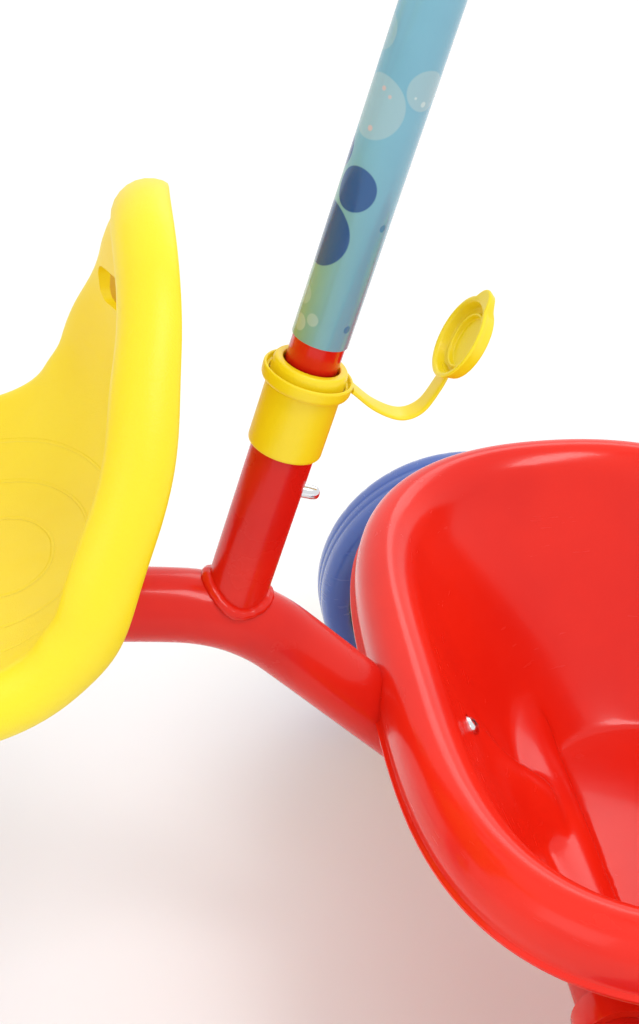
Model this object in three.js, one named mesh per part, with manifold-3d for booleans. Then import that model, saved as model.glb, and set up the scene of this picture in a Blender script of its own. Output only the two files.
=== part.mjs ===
// A children's tricycle: a steel frame, a moulded bucket seat, a rear storage tub and a removable push bar.
// Millimetres, +X forwards, +Y to the rider's left, +Z up, origin on the ground under the middle.
import * as THREE from "three";
import { mergeVertices } from "three/addons/utils/BufferGeometryUtils.js";
import Module from "manifold-3d";

const wasm = await Module();
wasm.setup();

// ---------------------------------------------------------------- driving dimensions
const touchGap = 0.3; // between pieces that touch on the real tricycle
const runGap = 0.5; // between pieces that turn or slide on each other

// Overall layout. The junction is a point on the main tube's axis, under the push bar.
const junctionHeight = 251;
const junctionAheadOfAxle = 157;
const wheelbase = 495;
const barLean = 17.2; // degrees that the push bar leans back
const headLean = 18.6; // degrees that the steering axis leans back

// Frame tubes
const mainTubeD = 34;
const mainTubeWall = 2;
const mainTubeRear = { x: 0, z: 2 }; // corner of the bend under the push bar, from the junction
const seatRunTop = 27; // top of the level stretch under the seat, above the junction
const seatRunZ = seatRunTop - mainTubeD / 2;
const seatRunFront = 168; // where that stretch turns up to the head tube
const seatRunRear = 62;
const mainTubeBend = 30; // reach of each bend from its corner
const headTubeD = 38;
const headTubeLength = 92;
const axleTubeD = 30;
const axleTubeWall = 2;

// Rear wheels and axle
const wheelSides = 22; // flats that stand for a wheel's roundness
const rearWheelR = 90;
const rearWheelWidth = 44;
const rearTyreDepth = 18;
const rearWheelInnerY = 210; // inner face of a rear wheel, from the middle plane
const axleRodD = 10;

// Front wheel, cranks and pedals
const frontWheelR = 120;
const frontWheelWidth = 46;
const frontTyreDepth = 22;
const crankLength = 72;
const crankRodD = 11;
const crankY = 64; // plane of the crank arms, from the middle plane
const pedalLength = 78; // across the tricycle
const pedalWidth = 62;
const pedalThickness = 24;

// Fork, steerer and handlebar
const forkOffset = 25; // front axle ahead of the steering axis
const forkTubeD = 20;
const forkLegY = 42;
const forkCrownAbove = 20; // crown's middle above the tyre
const steererD = 25;
const handlebarD = 22;
const handlebarRise = 120;
const handlebarHalf = 185;
const gripLength = 100;
const gripD = 31;
const gripInset = 34; // straight tube inside each grip's inner end
const stemHeight = 46;
const handlebarBack = 44; // middle of the grips behind the stem
const handlebarSweep = 22; // grips' outer ends behind their inner ends

// Push bar, its socket, collar and cap
const barFootX = 5; // push bar's axis at the junction's height, ahead of the junction
const pushBarD = 22.8;
const pushBarWall = 1.5;
const pushBarLength = 700;
const socketD = 28;
const weldBead = 4; // weld bead round the socket's foot
const socketTop = 118; // socket's length from the junction along its axis
const pushBarInset = 26; // bar's lower end above the junction, along the axis
const collarD = 32.6;
const collarBottom = 89;
const collarTop = 130;
const sleeveD = 24.4;
const sleeveBottom = 141.5;
const sleeveLength = 430;
const buttonAt = 69; // spring button above the junction, along the axis
const buttonD = 7;
const capR = 18;
const capDepth = 8;
const capCentre = { x: -98, z: 130 }; // from the junction
const capTurn = -58; // degrees that the cap's opening turns forwards from upright
const ringAt = 122.5; // strap ring above the junction, along the push bar's axis
const ringHeight = 6;
const ringR = 19.3;
const strapWidth = 11;
const strapThick = 2;
const strapBendGap = 1.4; // room for the strap's end to swing at the ring
const strapRoute = [[-60, 102], [-71, 97], [-80, 100], [-87, 110], [-91, 119]]; // from the junction
const handleHalf = 150;
const handleGripLength = 105;
const handleGripD = 33;

// Seat shell: a bowl swept along the middle profile, from the backrest's top to the front edge
const seatProfile = [
  [34, 185], [27, 162], [26, 138], [31, 102], [45, 65], [70, 44], [104, 38], [146, 39], [180, 44], [199, 50],
];
const seatHalfWidth = 107;
const seatShoulder = 112; // along the profile, from the top to where the shell reaches its full width
const seatFrontCorner = 72; // along the profile, from the front edge back to where the width starts to fall
// Distance along the seat's profile, and how high the rim stands above it there.
const seatRimLift = [[0, 9], [40, 22], [105, 32], [145, 31], [200, 18], [290, 9]];
const seatWall = 4;
const seatRollR = 16; // radius of the rolled rim's section
const seatRollStand = 3; // rim's crest above the bowl's edge
const seatBoltX = 126; // ahead of the junction
const seatBoltY = 31;
const seatNotchGap = 2;
const beltSlot = { y: 70, z: 128, width: 30, height: 18 };

// Storage tub
const tubCentreX = -193; // behind the junction
const tubHalfLength = 130;
const tubHalfWidth = 201;
const tubRimZ = -33; // top of the rim, below the junction
const tubRimWidth = 35;
const tubRimDrop = 20; // from the rim's top down to where the bowl starts
const tubSkirt = 26;
const tubFloorX = -222;
const tubFloorHalfLength = 58;
const tubFloorHalfWidth = 84;
const tubFloorZ = -165;
const tubWall = 4;
const tubTunnelGap = 1.2; // between a tunnel's underside and the tube in it
const tubScrewX = -110;
const clipY = 122;
const clipWidth = 16;
const clipWall = 4;
const clipHeadroom = 16; // clip's top below the tub's straight-line wall, which bulges outwards

const DEG = Math.PI / 180;
const forwards = new THREE.Vector3(1, 0, 0);
const sideways = new THREE.Vector3(0, 1, 0);
const upwards = new THREE.Vector3(0, 0, 1);

// ---------------------------------------------------------------- shared points
const rearAxleX = -junctionAheadOfAxle;
const frontAxleX = rearAxleX + wheelbase;
const tubRearX = tubCentreX - tubHalfLength;
const middleX = (tubRearX - 4.5 + frontAxleX + frontWheelR) / 2;

// A point given from the junction, in the tricycle's own frame.
function at(x, z, y = 0) {
  return new THREE.Vector3(x - middleX, y, z + junctionHeight);
}

// Directions up a leaning axis, and square to it towards the front.
const upAt = (lean) => new THREE.Vector3(-Math.sin(lean * DEG), 0, Math.cos(lean * DEG));
const frontAt = (lean) => new THREE.Vector3(Math.cos(lean * DEG), 0, Math.sin(lean * DEG));
const barAxis = upAt(barLean);
const barFront = frontAt(barLean);
const headAxis = upAt(headLean);
const headFront = frontAt(headLean);
const barFoot = at(barFootX, 0);
const rearAxle = at(rearAxleX, rearWheelR - junctionHeight);
const frontAxle = at(frontAxleX, frontWheelR - junctionHeight);
const steerBase = frontAxle.clone().addScaledVector(headFront, -forkOffset);

// A point on the push bar's axis and one on the steering axis, by height along the axis.
const onBar = (s) => barFoot.clone().addScaledVector(barAxis, s);
const onSteering = (s) => steerBase.clone().addScaledVector(headAxis, s);

const crownAt = frontWheelR + forkCrownAbove;
const headTubeAt = crownAt + forkTubeD / 2 + 12;
const headTubeEnd = headTubeAt + headTubeLength;

// ---------------------------------------------------------------- materials
function paint(color, roughness, metalness = 0) {
  return new THREE.MeshStandardMaterial({ color, roughness, metalness });
}
const redPaint = () => paint(0xd8221c, 0.3, 0.1);
const redPlastic = () => paint(0xe0251b, 0.28);
const yellowPlastic = () => paint(0xf6de1d, 0.45);
const bluePlastic = () => paint(0x3b62b4, 0.35);
const printedSleeve = () => paint(0x7fb9c9, 0.3);
const steel = () => paint(0xc9ccd0, 0.25, 0.9);
const darkPlastic = () => paint(0x2c2d30, 0.6);

// ---------------------------------------------------------------- solids
// Turns a closed geometry into a solid whose faces point out.
function toSolid(geometry) {
  const bare = geometry.clone();
  bare.deleteAttribute("normal");
  bare.deleteAttribute("uv");
  const merged = mergeVertices(bare, 1e-4);
  const triVerts = new Uint32Array(merged.index.array);
  const make = () =>
    new wasm.Manifold(
      new wasm.Mesh({ numProp: 3, vertProperties: merged.attributes.position.array, triVerts }),
    );
  const made = make();
  if (made.volume() >= 0) return made;
  for (let i = 0; i < triVerts.length; i += 3) {
    [triVerts[i + 1], triVerts[i + 2]] = [triVerts[i + 2], triVerts[i + 1]];
  }
  return make();
}

function toGeometry(solid) {
  const { numProp, numVert, vertProperties, triVerts } = solid.getMesh();
  const positions = new Float32Array(numVert * 3);
  for (let i = 0; i < numVert; i++) {
    positions.set(vertProperties.subarray(i * numProp, i * numProp + 3), i * 3);
  }
  const geometry = new THREE.BufferGeometry();
  geometry.setAttribute("position", new THREE.BufferAttribute(positions, 3));
  geometry.setIndex(new THREE.BufferAttribute(triVerts, 1));
  geometry.computeVertexNormals();
  return geometry;
}

const tricycle = new THREE.Group();

function addPiece(name, solid, material) {
  const mesh = new THREE.Mesh(toGeometry(solid), material);
  mesh.name = name;
  tricycle.add(mesh);
  return mesh;
}

// A geometry made about its own Z axis, turned so that Z points along an axis, and moved to a point.
function placed(geometry, point, axis = upwards) {
  geometry.applyQuaternion(new THREE.Quaternion().setFromUnitVectors(upwards, axis.clone().normalize()));
  geometry.translate(point.x, point.y, point.z);
  return geometry;
}

// A turned solid: profile points are [radius, height], in a closed loop or from axis to axis.
function turned(profile, point, axis, segments = 18) {
  const geometry = new THREE.LatheGeometry(
    profile.map(([r, h]) => new THREE.Vector2(r, h)),
    segments,
  );
  geometry.rotateX(Math.PI / 2);
  return toSolid(placed(geometry, point, axis));
}

function rod(radius, from, to, point, axis, segments = 18) {
  return turned([[0, from], [radius, from], [radius, to], [0, to]], point, axis, segments);
}

function ring(inner, outer, from, to, point, axis, segments = 18) {
  const loop = [[inner, from], [outer, from], [outer, to], [inner, to], [inner, from]];
  return turned(loop, point, axis, segments);
}

function block(size, centre, turn = 0) {
  const geometry = new THREE.BoxGeometry(...size);
  geometry.rotateY(turn * DEG);
  geometry.translate(centre.x, centre.y, centre.z);
  return toSolid(geometry);
}

// A curve whose even steps fall on its own points, so that a straight run costs one step.
class SteppedPath extends THREE.Curve {
  constructor(points) {
    super();
    this.points = points;
  }

  getPoint(t, target = new THREE.Vector3()) {
    const last = this.points.length - 1;
    const place = Math.min(last, Math.max(0, t * last));
    const i = Math.min(last - 1, Math.floor(place));
    return target.lerpVectors(this.points[i], this.points[i + 1], place - i);
  }

  getPointAt(u, target) {
    return this.getPoint(u, target);
  }

  getTangentAt(u, target) {
    return this.getTangent(u, target);
  }

  getSpacedPoints(steps) {
    return this.getPoints(steps);
  }
}

// A path of straight runs, with a curve of the given reach at each inner corner.
function bentPath(points, reach, cornerSteps = 4) {
  const stops = [points[0]];
  for (let i = 1; i < points.length - 1; i++) {
    const corner = points[i];
    const before = corner.clone().sub(points[i - 1]);
    const after = points[i + 1].clone().sub(corner);
    const cut = Math.min(reach, before.length() * 0.49, after.length() * 0.49);
    const start = corner.clone().addScaledVector(before.normalize(), -cut);
    const end = corner.clone().addScaledVector(after.normalize(), cut);
    stops.push(...new THREE.QuadraticBezierCurve3(start, corner.clone(), end).getPoints(cornerSteps));
  }
  stops.push(points[points.length - 1]);
  return new SteppedPath(stops);
}

// A round bar or tube along a bent path.
function sweep(path, radius, boreRadius, sides = 14) {
  const section = new THREE.Shape();
  section.absarc(0, 0, radius, 0, 2 * Math.PI, false);
  if (boreRadius > 0) {
    const bore = new THREE.Path();
    bore.absarc(0, 0, boreRadius, 0, 2 * Math.PI, true);
    section.holes.push(bore);
  }
  const options = {
    steps: path.points.length - 1,
    curveSegments: sides / 2,
    extrudePath: path,
    bevelEnabled: false,
  };
  return toSolid(new THREE.ExtrudeGeometry(section, options));
}

// A closed skin over a grid of rings: each ring has the same number of points, the end rings are closed
// by a fan to their middle points.
function skin(rings, first, last) {
  const count = rings[0].length;
  const positions = [];
  rings.forEach((loop) => loop.forEach((p) => positions.push(p.x, p.y, p.z)));
  positions.push(first.x, first.y, first.z, last.x, last.y, last.z);
  const firstAt = rings.length * count;
  const index = [];
  for (let i = 0; i < count; i++) {
    const j = (i + 1) % count;
    index.push(firstAt, j, i);
    const end = (rings.length - 1) * count;
    index.push(firstAt + 1, end + i, end + j);
    for (let k = 0; k < rings.length - 1; k++) {
      const a = k * count;
      const b = a + count;
      index.push(a + i, a + j, b + j, a + i, b + j, b + i);
    }
  }
  const geometry = new THREE.BufferGeometry();
  geometry.setAttribute("position", new THREE.Float32BufferAttribute(positions, 3));
  geometry.setIndex(index);
  return toSolid(geometry);
}

// Smooth step from 0 to 1, and a reading of a table of [place, value] pairs along it.
function ease(t) {
  const c = Math.min(1, Math.max(0, t));
  return c * c * (3 - 2 * c);
}
function readTable(table, place) {
  for (let i = 1; i < table.length; i++) {
    const [p0, v0] = table[i - 1];
    const [p1, v1] = table[i];
    if (place <= p1 || i === table.length - 1) return v0 + (v1 - v0) * ease((place - p0) / (p1 - p0));
  }
  return table[0][1];
}

// ---------------------------------------------------------------- frame
// The straight run of the main tube behind its bend: its slope, and its axis height from the junction.
const rearRunSlope = (rearWheelR - junctionHeight - mainTubeRear.z) / (rearAxleX - mainTubeRear.x);
function mainTubeAxisZ(x) {
  return mainTubeRear.z + (x - mainTubeRear.x) * rearRunSlope;
}
const headJoin = onSteering(headTubeAt + headTubeLength * 0.3);
const mainTubePath = bentPath(
  [
    headJoin,
    at(seatRunFront, seatRunZ),
    at(seatRunRear, seatRunZ),
    at(mainTubeRear.x, mainTubeRear.z),
    rearAxle,
  ],
  mainTubeBend,
);

const headTubeSolid = (grow) =>
  rod(headTubeD / 2 + grow, headTubeAt - grow, headTubeEnd + grow, steerBase, headAxis, 20);
const axleTubeSolid = (grow) => {
  const half = rearWheelInnerY - 12;
  return rod(axleTubeD / 2 + grow, -half - grow, half + grow, rearAxle, sideways, 18);
};

function addFrame() {
  const mainTube = sweep(mainTubePath, mainTubeD / 2, mainTubeD / 2 - mainTubeWall)
    .subtract(headTubeSolid(touchGap))
    .subtract(axleTubeSolid(touchGap));
  addPiece("main_tube", mainTube, redPaint());

  const steererBore = steererD / 2 + 3.5;
  addPiece(
    "head_tube",
    ring(steererBore, headTubeD / 2, headTubeAt, headTubeEnd, steerBase, headAxis, 20),
    redPaint(),
  );

  const half = rearWheelInnerY - 12;
  addPiece(
    "rear_axle_tube",
    ring(axleTubeD / 2 - axleTubeWall, axleTubeD / 2, -half, half, rearAxle, sideways, 18),
    redPaint(),
  );

  const mainTubeGrown = sweep(mainTubePath, mainTubeD / 2 + touchGap, 0);
  const beadSolid = rod(socketD / 2 + weldBead, 0, mainTubeD, barFoot, barAxis, 20).intersect(
    sweep(mainTubePath, mainTubeD / 2 + weldBead, 0, 20),
  );
  const button = rod(buttonD / 2 + runGap, -40, 0, onBar(buttonAt), barFront, 16);
  const bore = rod(pushBarD / 2 + runGap, pushBarInset - 6, socketTop + 5, barFoot, barAxis, 18);
  const socket = rod(socketD / 2, 0, socketTop, barFoot, barAxis, 18)
    .add(beadSolid)
    .subtract(mainTubeGrown)
    .subtract(bore)
    .subtract(button);
  addPiece("push_bar_socket", socket, redPaint());

  // Press-in plastic bushes carry the axle rod at each end of the axle tube.
  for (const [side, name] of [[1, "left"], [-1, "right"]]) {
    const mouth = rearAxle.clone().addScaledVector(sideways, side * half);
    const axis = sideways.clone().multiplyScalar(side);
    const boreR = axleRodD / 2 + touchGap;
    const tubeR = axleTubeD / 2 - axleTubeWall - touchGap;
    const loop = [
      [boreR, -20], [tubeR, -20], [tubeR, touchGap], [axleTubeD / 2, touchGap],
      [axleTubeD / 2, 4], [boreR, 4], [boreR, -20],
    ];
    addPiece("axle_bush_" + name, turned(loop, mouth, axis, 14), darkPlastic());
  }
  const rodHalf = rearWheelInnerY + rearWheelWidth + 6;
  addPiece(
    "rear_axle_rod",
    rod(axleRodD / 2, -rodHalf, rodHalf, rearAxle, sideways, 16),
    steel(),
  );
}

// ---------------------------------------------------------------- seat
const seatCurve = new THREE.CatmullRomCurve3(seatProfile.map(([x, z]) => at(x, z)), false, "centripetal");
const seatLength = seatCurve.getLength();

// Half the bowl's width at a place along the middle profile.
function seatHalf(place) {
  const top = Math.min(1, place / seatShoulder);
  const back = Math.sqrt(Math.max(0, 1 - (1 - top) ** 1.4));
  const front = Math.max(0, (place - (seatLength - seatFrontCorner)) / seatFrontCorner);
  return seatHalfWidth * back * Math.max(0, 1 - Math.min(1, front) ** 2.6) ** 0.5;
}

// The frame of the middle profile at a place: its point, and its normal towards the rider.
function seatStation(place) {
  const u = Math.min(1, Math.max(0, place / seatLength));
  const tangent = seatCurve.getTangentAt(u);
  return { point: seatCurve.getPointAt(u), normal: new THREE.Vector3(-tangent.z, 0, tangent.x) };
}

function seatPoint(place, y, lift) {
  const { point, normal } = seatStation(place);
  return point.addScaledVector(normal, lift).setY(y);
}

// The rim as places evenly spread round the outline of the bowl laid flat, each with its outward direction.
function seatRim(count) {
  const fine = [];
  const samples = 400;
  for (let i = 0; i <= samples; i++) {
    const place = seatLength * 0.5 * (1 - Math.cos((Math.PI * i) / samples));
    fine.push([place, seatHalf(place)]);
  }
  const loop = fine.concat(fine.slice(1, -1).reverse().map(([place, y]) => [place, -y]));
  const shape = new THREE.Shape(loop.map(([place, y]) => new THREE.Vector2(place, y)));
  shape.closePath();
  const spaced = shape.getSpacedPoints(count).slice(0, count);
  return spaced.map((p, i) => {
    const next = spaced[(i + 1) % count];
    const last = spaced[(i + count - 1) % count];
    const along = next.clone().sub(last).normalize();
    return { place: p.x, y: p.y, out: new THREE.Vector2(along.y, -along.x).negate() };
  });
}

function addSeat() {
  const rim = seatRim(34);
  const centre = { place: seatLength * 0.62, y: 0 };
  const liftAt = (place) => readTable(seatRimLift, place);

  // Rings of the bowl on its rider's side (depth 0) or its underside (depth = wall).
  const bowlRing = (share, depth) =>
    rim.map(({ place, y }) => {
      const here = centre.place + (place - centre.place) * share;
      return seatPoint(here, y * share, liftAt(place) * share ** 2.4 - depth);
    });
  // A ring of the rolled rim: out past the bowl's edge, and lift above it.
  const rollRing = (out, lift) =>
    rim.map(({ place, y, out: direction }) => {
      const { point, normal } = seatStation(place);
      const u = Math.min(1, Math.max(0, place / seatLength));
      const tangent = seatCurve.getTangentAt(u);
      return point
        .setY(y)
        .addScaledVector(normal, liftAt(place) + lift)
        .addScaledVector(tangent, direction.x * out)
        .addScaledVector(sideways, direction.y * out);
    });
  const shares = [0.2, 0.4, 0.58, 0.74, 0.88, 1];
  const inside = shares.map((share) => bowlRing(share, 0));
  const underside = shares.map((share) => bowlRing(share, seatWall)).reverse();
  // The rim's section is most of a circle, with its inner edge on the bowl's edge.
  const rollAt = (degrees, radius) =>
    rollRing(radius * Math.sin(degrees * DEG), radius * Math.cos(degrees * DEG) - seatRollR + seatRollStand);
  const turns = [22, 48, 75, 102, 128, 150];
  const roll = [
    ...turns.map((degrees) => rollAt(degrees, seatRollR)),
    ...turns.slice(2).reverse().map((degrees) => rollAt(degrees, seatRollR - seatWall)),
    rollAt(45, seatRollR - seatWall),
  ];
  const middle = seatPoint(centre.place, 0, 0);
  const under = seatPoint(centre.place, 0, -seatWall);
  let shell = skin([...inside, ...roll, ...underside], middle, under);
  for (const side of [1, -1]) {
    const bolt = at(seatBoltX, 0, side * seatBoltY);
    shell = shell.subtract(rod(3 + runGap, 0, 200, bolt, upwards, 12));
    const slotAt = at(20, beltSlot.z, side * beltSlot.y);
    shell = shell.subtract(block([80, beltSlot.width, beltSlot.height], slotAt));
  }
  shell = shell.subtract(sweep(mainTubePath, mainTubeD / 2 + seatNotchGap, 0));
  addPiece("seat_shell", shell, yellowPlastic());

  // The seat's saddle plate straddles the main tube, with a foot on each side for a seat bolt.
  const plateTop = seatPoint(centre.place, 0, 0).z - seatWall - 3;
  const plateThick = 3;
  const tubeTop = at(seatBoltX, seatRunZ).z + mainTubeD / 2;
  const plate = block([70, 2 * seatBoltY + 26, plateThick], at(seatBoltX, 0).setZ(plateTop - plateThick / 2));
  const webHeight = plateTop - tubeTop + mainTubeD / 2;
  let bracket = plate;
  for (const side of [1, -1]) {
    const web = block(
      [58, 4, webHeight],
      at(seatBoltX, 0, side * (mainTubeD / 2 + touchGap + 2)).setZ(plateTop - webHeight / 2 - 0.5),
    );
    bracket = bracket.add(web);
    bracket = bracket.subtract(rod(3 + runGap, 0, 200, at(seatBoltX, 0, side * seatBoltY), upwards, 12));
  }
  addPiece("seat_bracket", bracket, redPaint());

  for (const [side, name] of [[1, "left"], [-1, "right"]]) {
    const axisPoint = at(seatBoltX, 0, side * seatBoltY);
    const headLow = seatPoint(centre.place, 0, 0).z + 3;
    const nutTop = plateTop - plateThick - touchGap;
    const bolt = [
      [0, nutTop - 9], [2.9, nutTop - 9], [2.9, headLow], [8, headLow], [8, headLow + 1.5],
      [5, headLow + 4], [0, headLow + 4.6],
    ];
    addPiece("seat_bolt_" + name, turned(bolt, axisPoint.clone().setZ(0), upwards, 12), steel());
    const foot = axisPoint.clone().setZ(0);
    const nut = rod(5.8, nutTop - 5, nutTop, foot, upwards, 6).subtract(
      rod(2.9 + touchGap, nutTop - 9, nutTop + 9, foot, upwards, 12),
    );
    addPiece("seat_nut_" + name, nut, steel());
  }
}

// ---------------------------------------------------------------- storage tub
// A plan outline of the tub, a rounded rectangle by formula: the point at an angle round it.
function tubOutline(angle, centreX, halfLength, halfWidth, inset = 0) {
  const spot = (turn) => {
    const c = Math.cos(turn);
    const s = Math.sin(turn);
    return new THREE.Vector2(
      centreX + halfLength * Math.sign(c) * Math.abs(c) ** (2 / 2.2),
      halfWidth * Math.sign(s) * Math.abs(s) ** (2 / 3.4),
    );
  };
  const along = spot(angle + 0.01).sub(spot(angle - 0.01)).normalize();
  return spot(angle).add(new THREE.Vector2(-along.y, along.x).multiplyScalar(inset));
}

// A point of the bowl at an angle, a share of the way from the rim's inner edge (0) to the floor's (1).
function tubWallPoint(angle, share, offset) {
  const inner = tubOutline(angle, tubCentreX, tubHalfLength, tubHalfWidth, tubRimWidth - offset);
  const floor = tubOutline(angle, tubFloorX, tubFloorHalfLength, tubFloorHalfWidth, -offset);
  const top = tubRimZ - tubRimDrop;
  const sink = Math.sin((share * Math.PI) / 2) * 0.35 + share * 0.65;
  return at(
    inner.x + (floor.x - inner.x) * share,
    top + (tubFloorZ - offset - top) * sink,
    inner.y + (floor.y - inner.y) * share,
  );
}

// The tub screw's point on the main tube's axis, and its direction square to the tube.
function tubScrewPlace() {
  const square = new THREE.Vector3(-rearRunSlope, 0, 1).normalize();
  const x = tubScrewX - square.x * (mainTubeD / 2 + tubWall);
  return { point: at(x, mainTubeAxisZ(x)), square };
}

function addTub() {
  const count = 32;
  const angles = Array.from({ length: count }, (_, i) => (2 * Math.PI * (i + 0.5)) / count);
  const bowl = (offset) =>
    [0, 0.25, 0.5, 0.75, 0.92, 1].map((share) => angles.map((angle) => tubWallPoint(angle, share, offset)));
  const rimRing = ([inset, z]) =>
    angles.map((angle) => {
      const p = tubOutline(angle, tubCentreX, tubHalfLength, tubHalfWidth, inset);
      return at(p.x, tubRimZ + z, p.y);
    });
  // The rim's section, from the lip at the skirt's foot, over the crest and down to the bowl.
  const outer = [
    [-2, -tubSkirt - 2], [-2, -tubSkirt], [0, -tubSkirt + 2], [0.5, -16], [4, -6.5], [11, -1], [18, 0],
    [26, -3.5], [32, -11],
  ];
  const inner = [[2, -tubSkirt - 2], [4.5, -16], [8, -9], [13, -5], [19, -4.5], [25, -8], [29, -14]];
  const floorTop = at(tubFloorX, tubFloorZ);
  const floorUnder = at(tubFloorX, tubFloorZ - tubWall);
  const shell = skin(
    [...bowl(tubWall).reverse(), ...inner.map(rimRing).reverse(), ...outer.map(rimRing), ...bowl(0)],
    floorUnder,
    floorTop,
  );
  const lid = at(tubCentreX, tubRimZ - tubRimDrop);
  const filled = skin(bowl(tubWall / 2).reverse(), floorUnder.clone().setZ(floorTop.z - tubWall / 2), lid);

  // Tunnels in the floor pass over the main tube and the axle tube.
  const reach = tubTunnelGap + tubWall;
  const tunnels = sweep(mainTubePath, mainTubeD / 2 + reach, 0).add(axleTubeSolid(reach)).intersect(filled);
  const { point, square } = tubScrewPlace();
  const land = mainTubeD / 2 + reach;
  const tub = shell
    .add(tunnels)
    .subtract(sweep(mainTubePath, mainTubeD / 2 + tubTunnelGap, 0))
    .subtract(axleTubeSolid(tubTunnelGap))
    .subtract(rod(2.2 + runGap, 0, 60, point, square, 14))
    .subtract(rod(6.2, land, land + 14, point, square, 18));
  addPiece("storage_tub", tub, redPlastic());
}

// A screw through the tub's front wall into the main tube, and a clip under each side for the axle tube.
function addTubFixings() {
  const { point: onTube, square } = tubScrewPlace();
  const seatFace = mainTubeD / 2 + tubTunnelGap + tubWall + touchGap;
  const head = [
    [0, mainTubeD / 2 + 1.6], [2.2, mainTubeD / 2 + 1.6], [2.2, seatFace], [5.6, seatFace],
    [5.2, seatFace + 1.6], [3, seatFace + 3], [0, seatFace + 3.4],
  ];
  addPiece("tub_screw", turned(head, onTube, square, 14), steel());

  for (const [side, name] of [[1, "left"], [-1, "right"]]) {
    const outer = axleTubeD / 2 + clipWall + touchGap;
    const centre = rearAxle.clone().setY(side * clipY);
    const wallFoot = tubWallPoint(Math.PI / 2, 1, tubWall);
    const wallTop = tubWallPoint(Math.PI / 2, 0, tubWall);
    const climb = (clipY - clipWidth / 2 - wallFoot.y) / (wallTop.y - wallFoot.y);
    const ceiling = wallFoot.z + (wallTop.z - wallFoot.z) * climb - clipHeadroom;
    const post = block(
      [2 * outer, clipWidth, ceiling - centre.z],
      centre.clone().setZ((centre.z + ceiling) / 2),
    );
    const clip = ring(axleTubeD / 2, outer, -clipWidth / 2, clipWidth / 2, centre, sideways, 20)
      .add(post)
      .subtract(axleTubeSolid(touchGap))
      .subtract(block([axleTubeD - 6, clipWidth + 2, outer], centre.clone().setZ(centre.z - outer / 2 - 5)));
    addPiece("axle_clip_" + name, clip, redPlastic());
  }
}

// ---------------------------------------------------------------- collar, cap and spring button
function addCollar() {
  const inner = socketD / 2 + touchGap;
  const outer = collarD / 2;
  const throat = pushBarD / 2 + runGap + 0.3;
  const lid = socketTop + touchGap;
  const profile = [
    [inner, collarBottom], [outer - 0.5, collarBottom], [outer, collarBottom + 2], [outer, collarTop - 3],
    [outer - 1, collarTop], [throat, collarTop], [throat, lid], [inner, lid], [inner, collarBottom],
  ];
  addPiece("socket_collar", turned(profile, barFoot, barAxis, 18), yellowPlastic());
  const ringInner = outer + touchGap;
  const low = ringAt - ringHeight / 2;
  const high = ringAt + ringHeight / 2;
  const band = [
    [ringInner, low + 1], [ringInner + 1, low], [ringR - 1.5, low], [ringR, low + 1.5], [ringR, high - 1.5],
    [ringR - 1.5, high], [ringInner + 1, high], [ringInner, high - 1], [ringInner, low + 1],
  ];
  addPiece("cap_ring", turned(band, barFoot, barAxis, 20), yellowPlastic());
}

// The strap leaves the back of the ring, dips and climbs to the cap, which opens towards the push bar.
function addCap() {
  const start = onBar(ringAt).addScaledVector(barFront, -ringR - strapBendGap);
  const route = new THREE.CatmullRomCurve3([start, ...strapRoute.map(([x, z]) => at(x, z))]);
  const section = new THREE.Shape();
  section.moveTo(-strapWidth / 2, -strapThick / 2);
  section.lineTo(strapWidth / 2, -strapThick / 2);
  section.lineTo(strapWidth / 2, strapThick / 2);
  section.lineTo(-strapWidth / 2, strapThick / 2);
  section.closePath();
  const strap = toSolid(
    new THREE.ExtrudeGeometry(section, { steps: 14, extrudePath: route, bevelEnabled: false }),
  );
  const centre = at(capCentre.x, capCentre.z);
  const facing = upAt(capTurn);
  const away = frontAt(capTurn).negate();
  const half = capDepth / 2;
  const dish = [
    [0, -half], [capR - 4, -half], [capR - 0.8, -half + 2.5], [capR, half - 2], [capR + 0.8, half],
    [capR - 1.6, half], [capR - 2.2, half - 2.5], [capR - 4.6, -half + 2], [0, -half + 2],
  ];
  const tabAt = centre.clone().addScaledVector(away, capR - 0.6).addScaledVector(facing, half - 1.6);
  const tab = block([9, 9, 2.6], tabAt, -capTurn);
  addPiece("socket_cap", turned(dish, centre, facing, 18).add(tab), yellowPlastic());
  const capGrown = rod(capR + touchGap + 0.6, -half - 3, half + 3, centre, facing, 18);
  addPiece("cap_strap", strap.subtract(capGrown), yellowPlastic());
}

function addButton() {
  const outwards = barFront.clone().negate();
  const inner = pushBarD / 2 + runGap;
  const r = buttonD / 2;
  const dome = [
    [0, inner], [r, inner], [r, socketD / 2 + 5], [r * 0.86, socketD / 2 + 6.6], [r * 0.5, socketD / 2 + 7.8],
    [0, socketD / 2 + 8.2],
  ];
  addPiece("spring_button", turned(dome, onBar(buttonAt), outwards, 18), steel());
}

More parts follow.
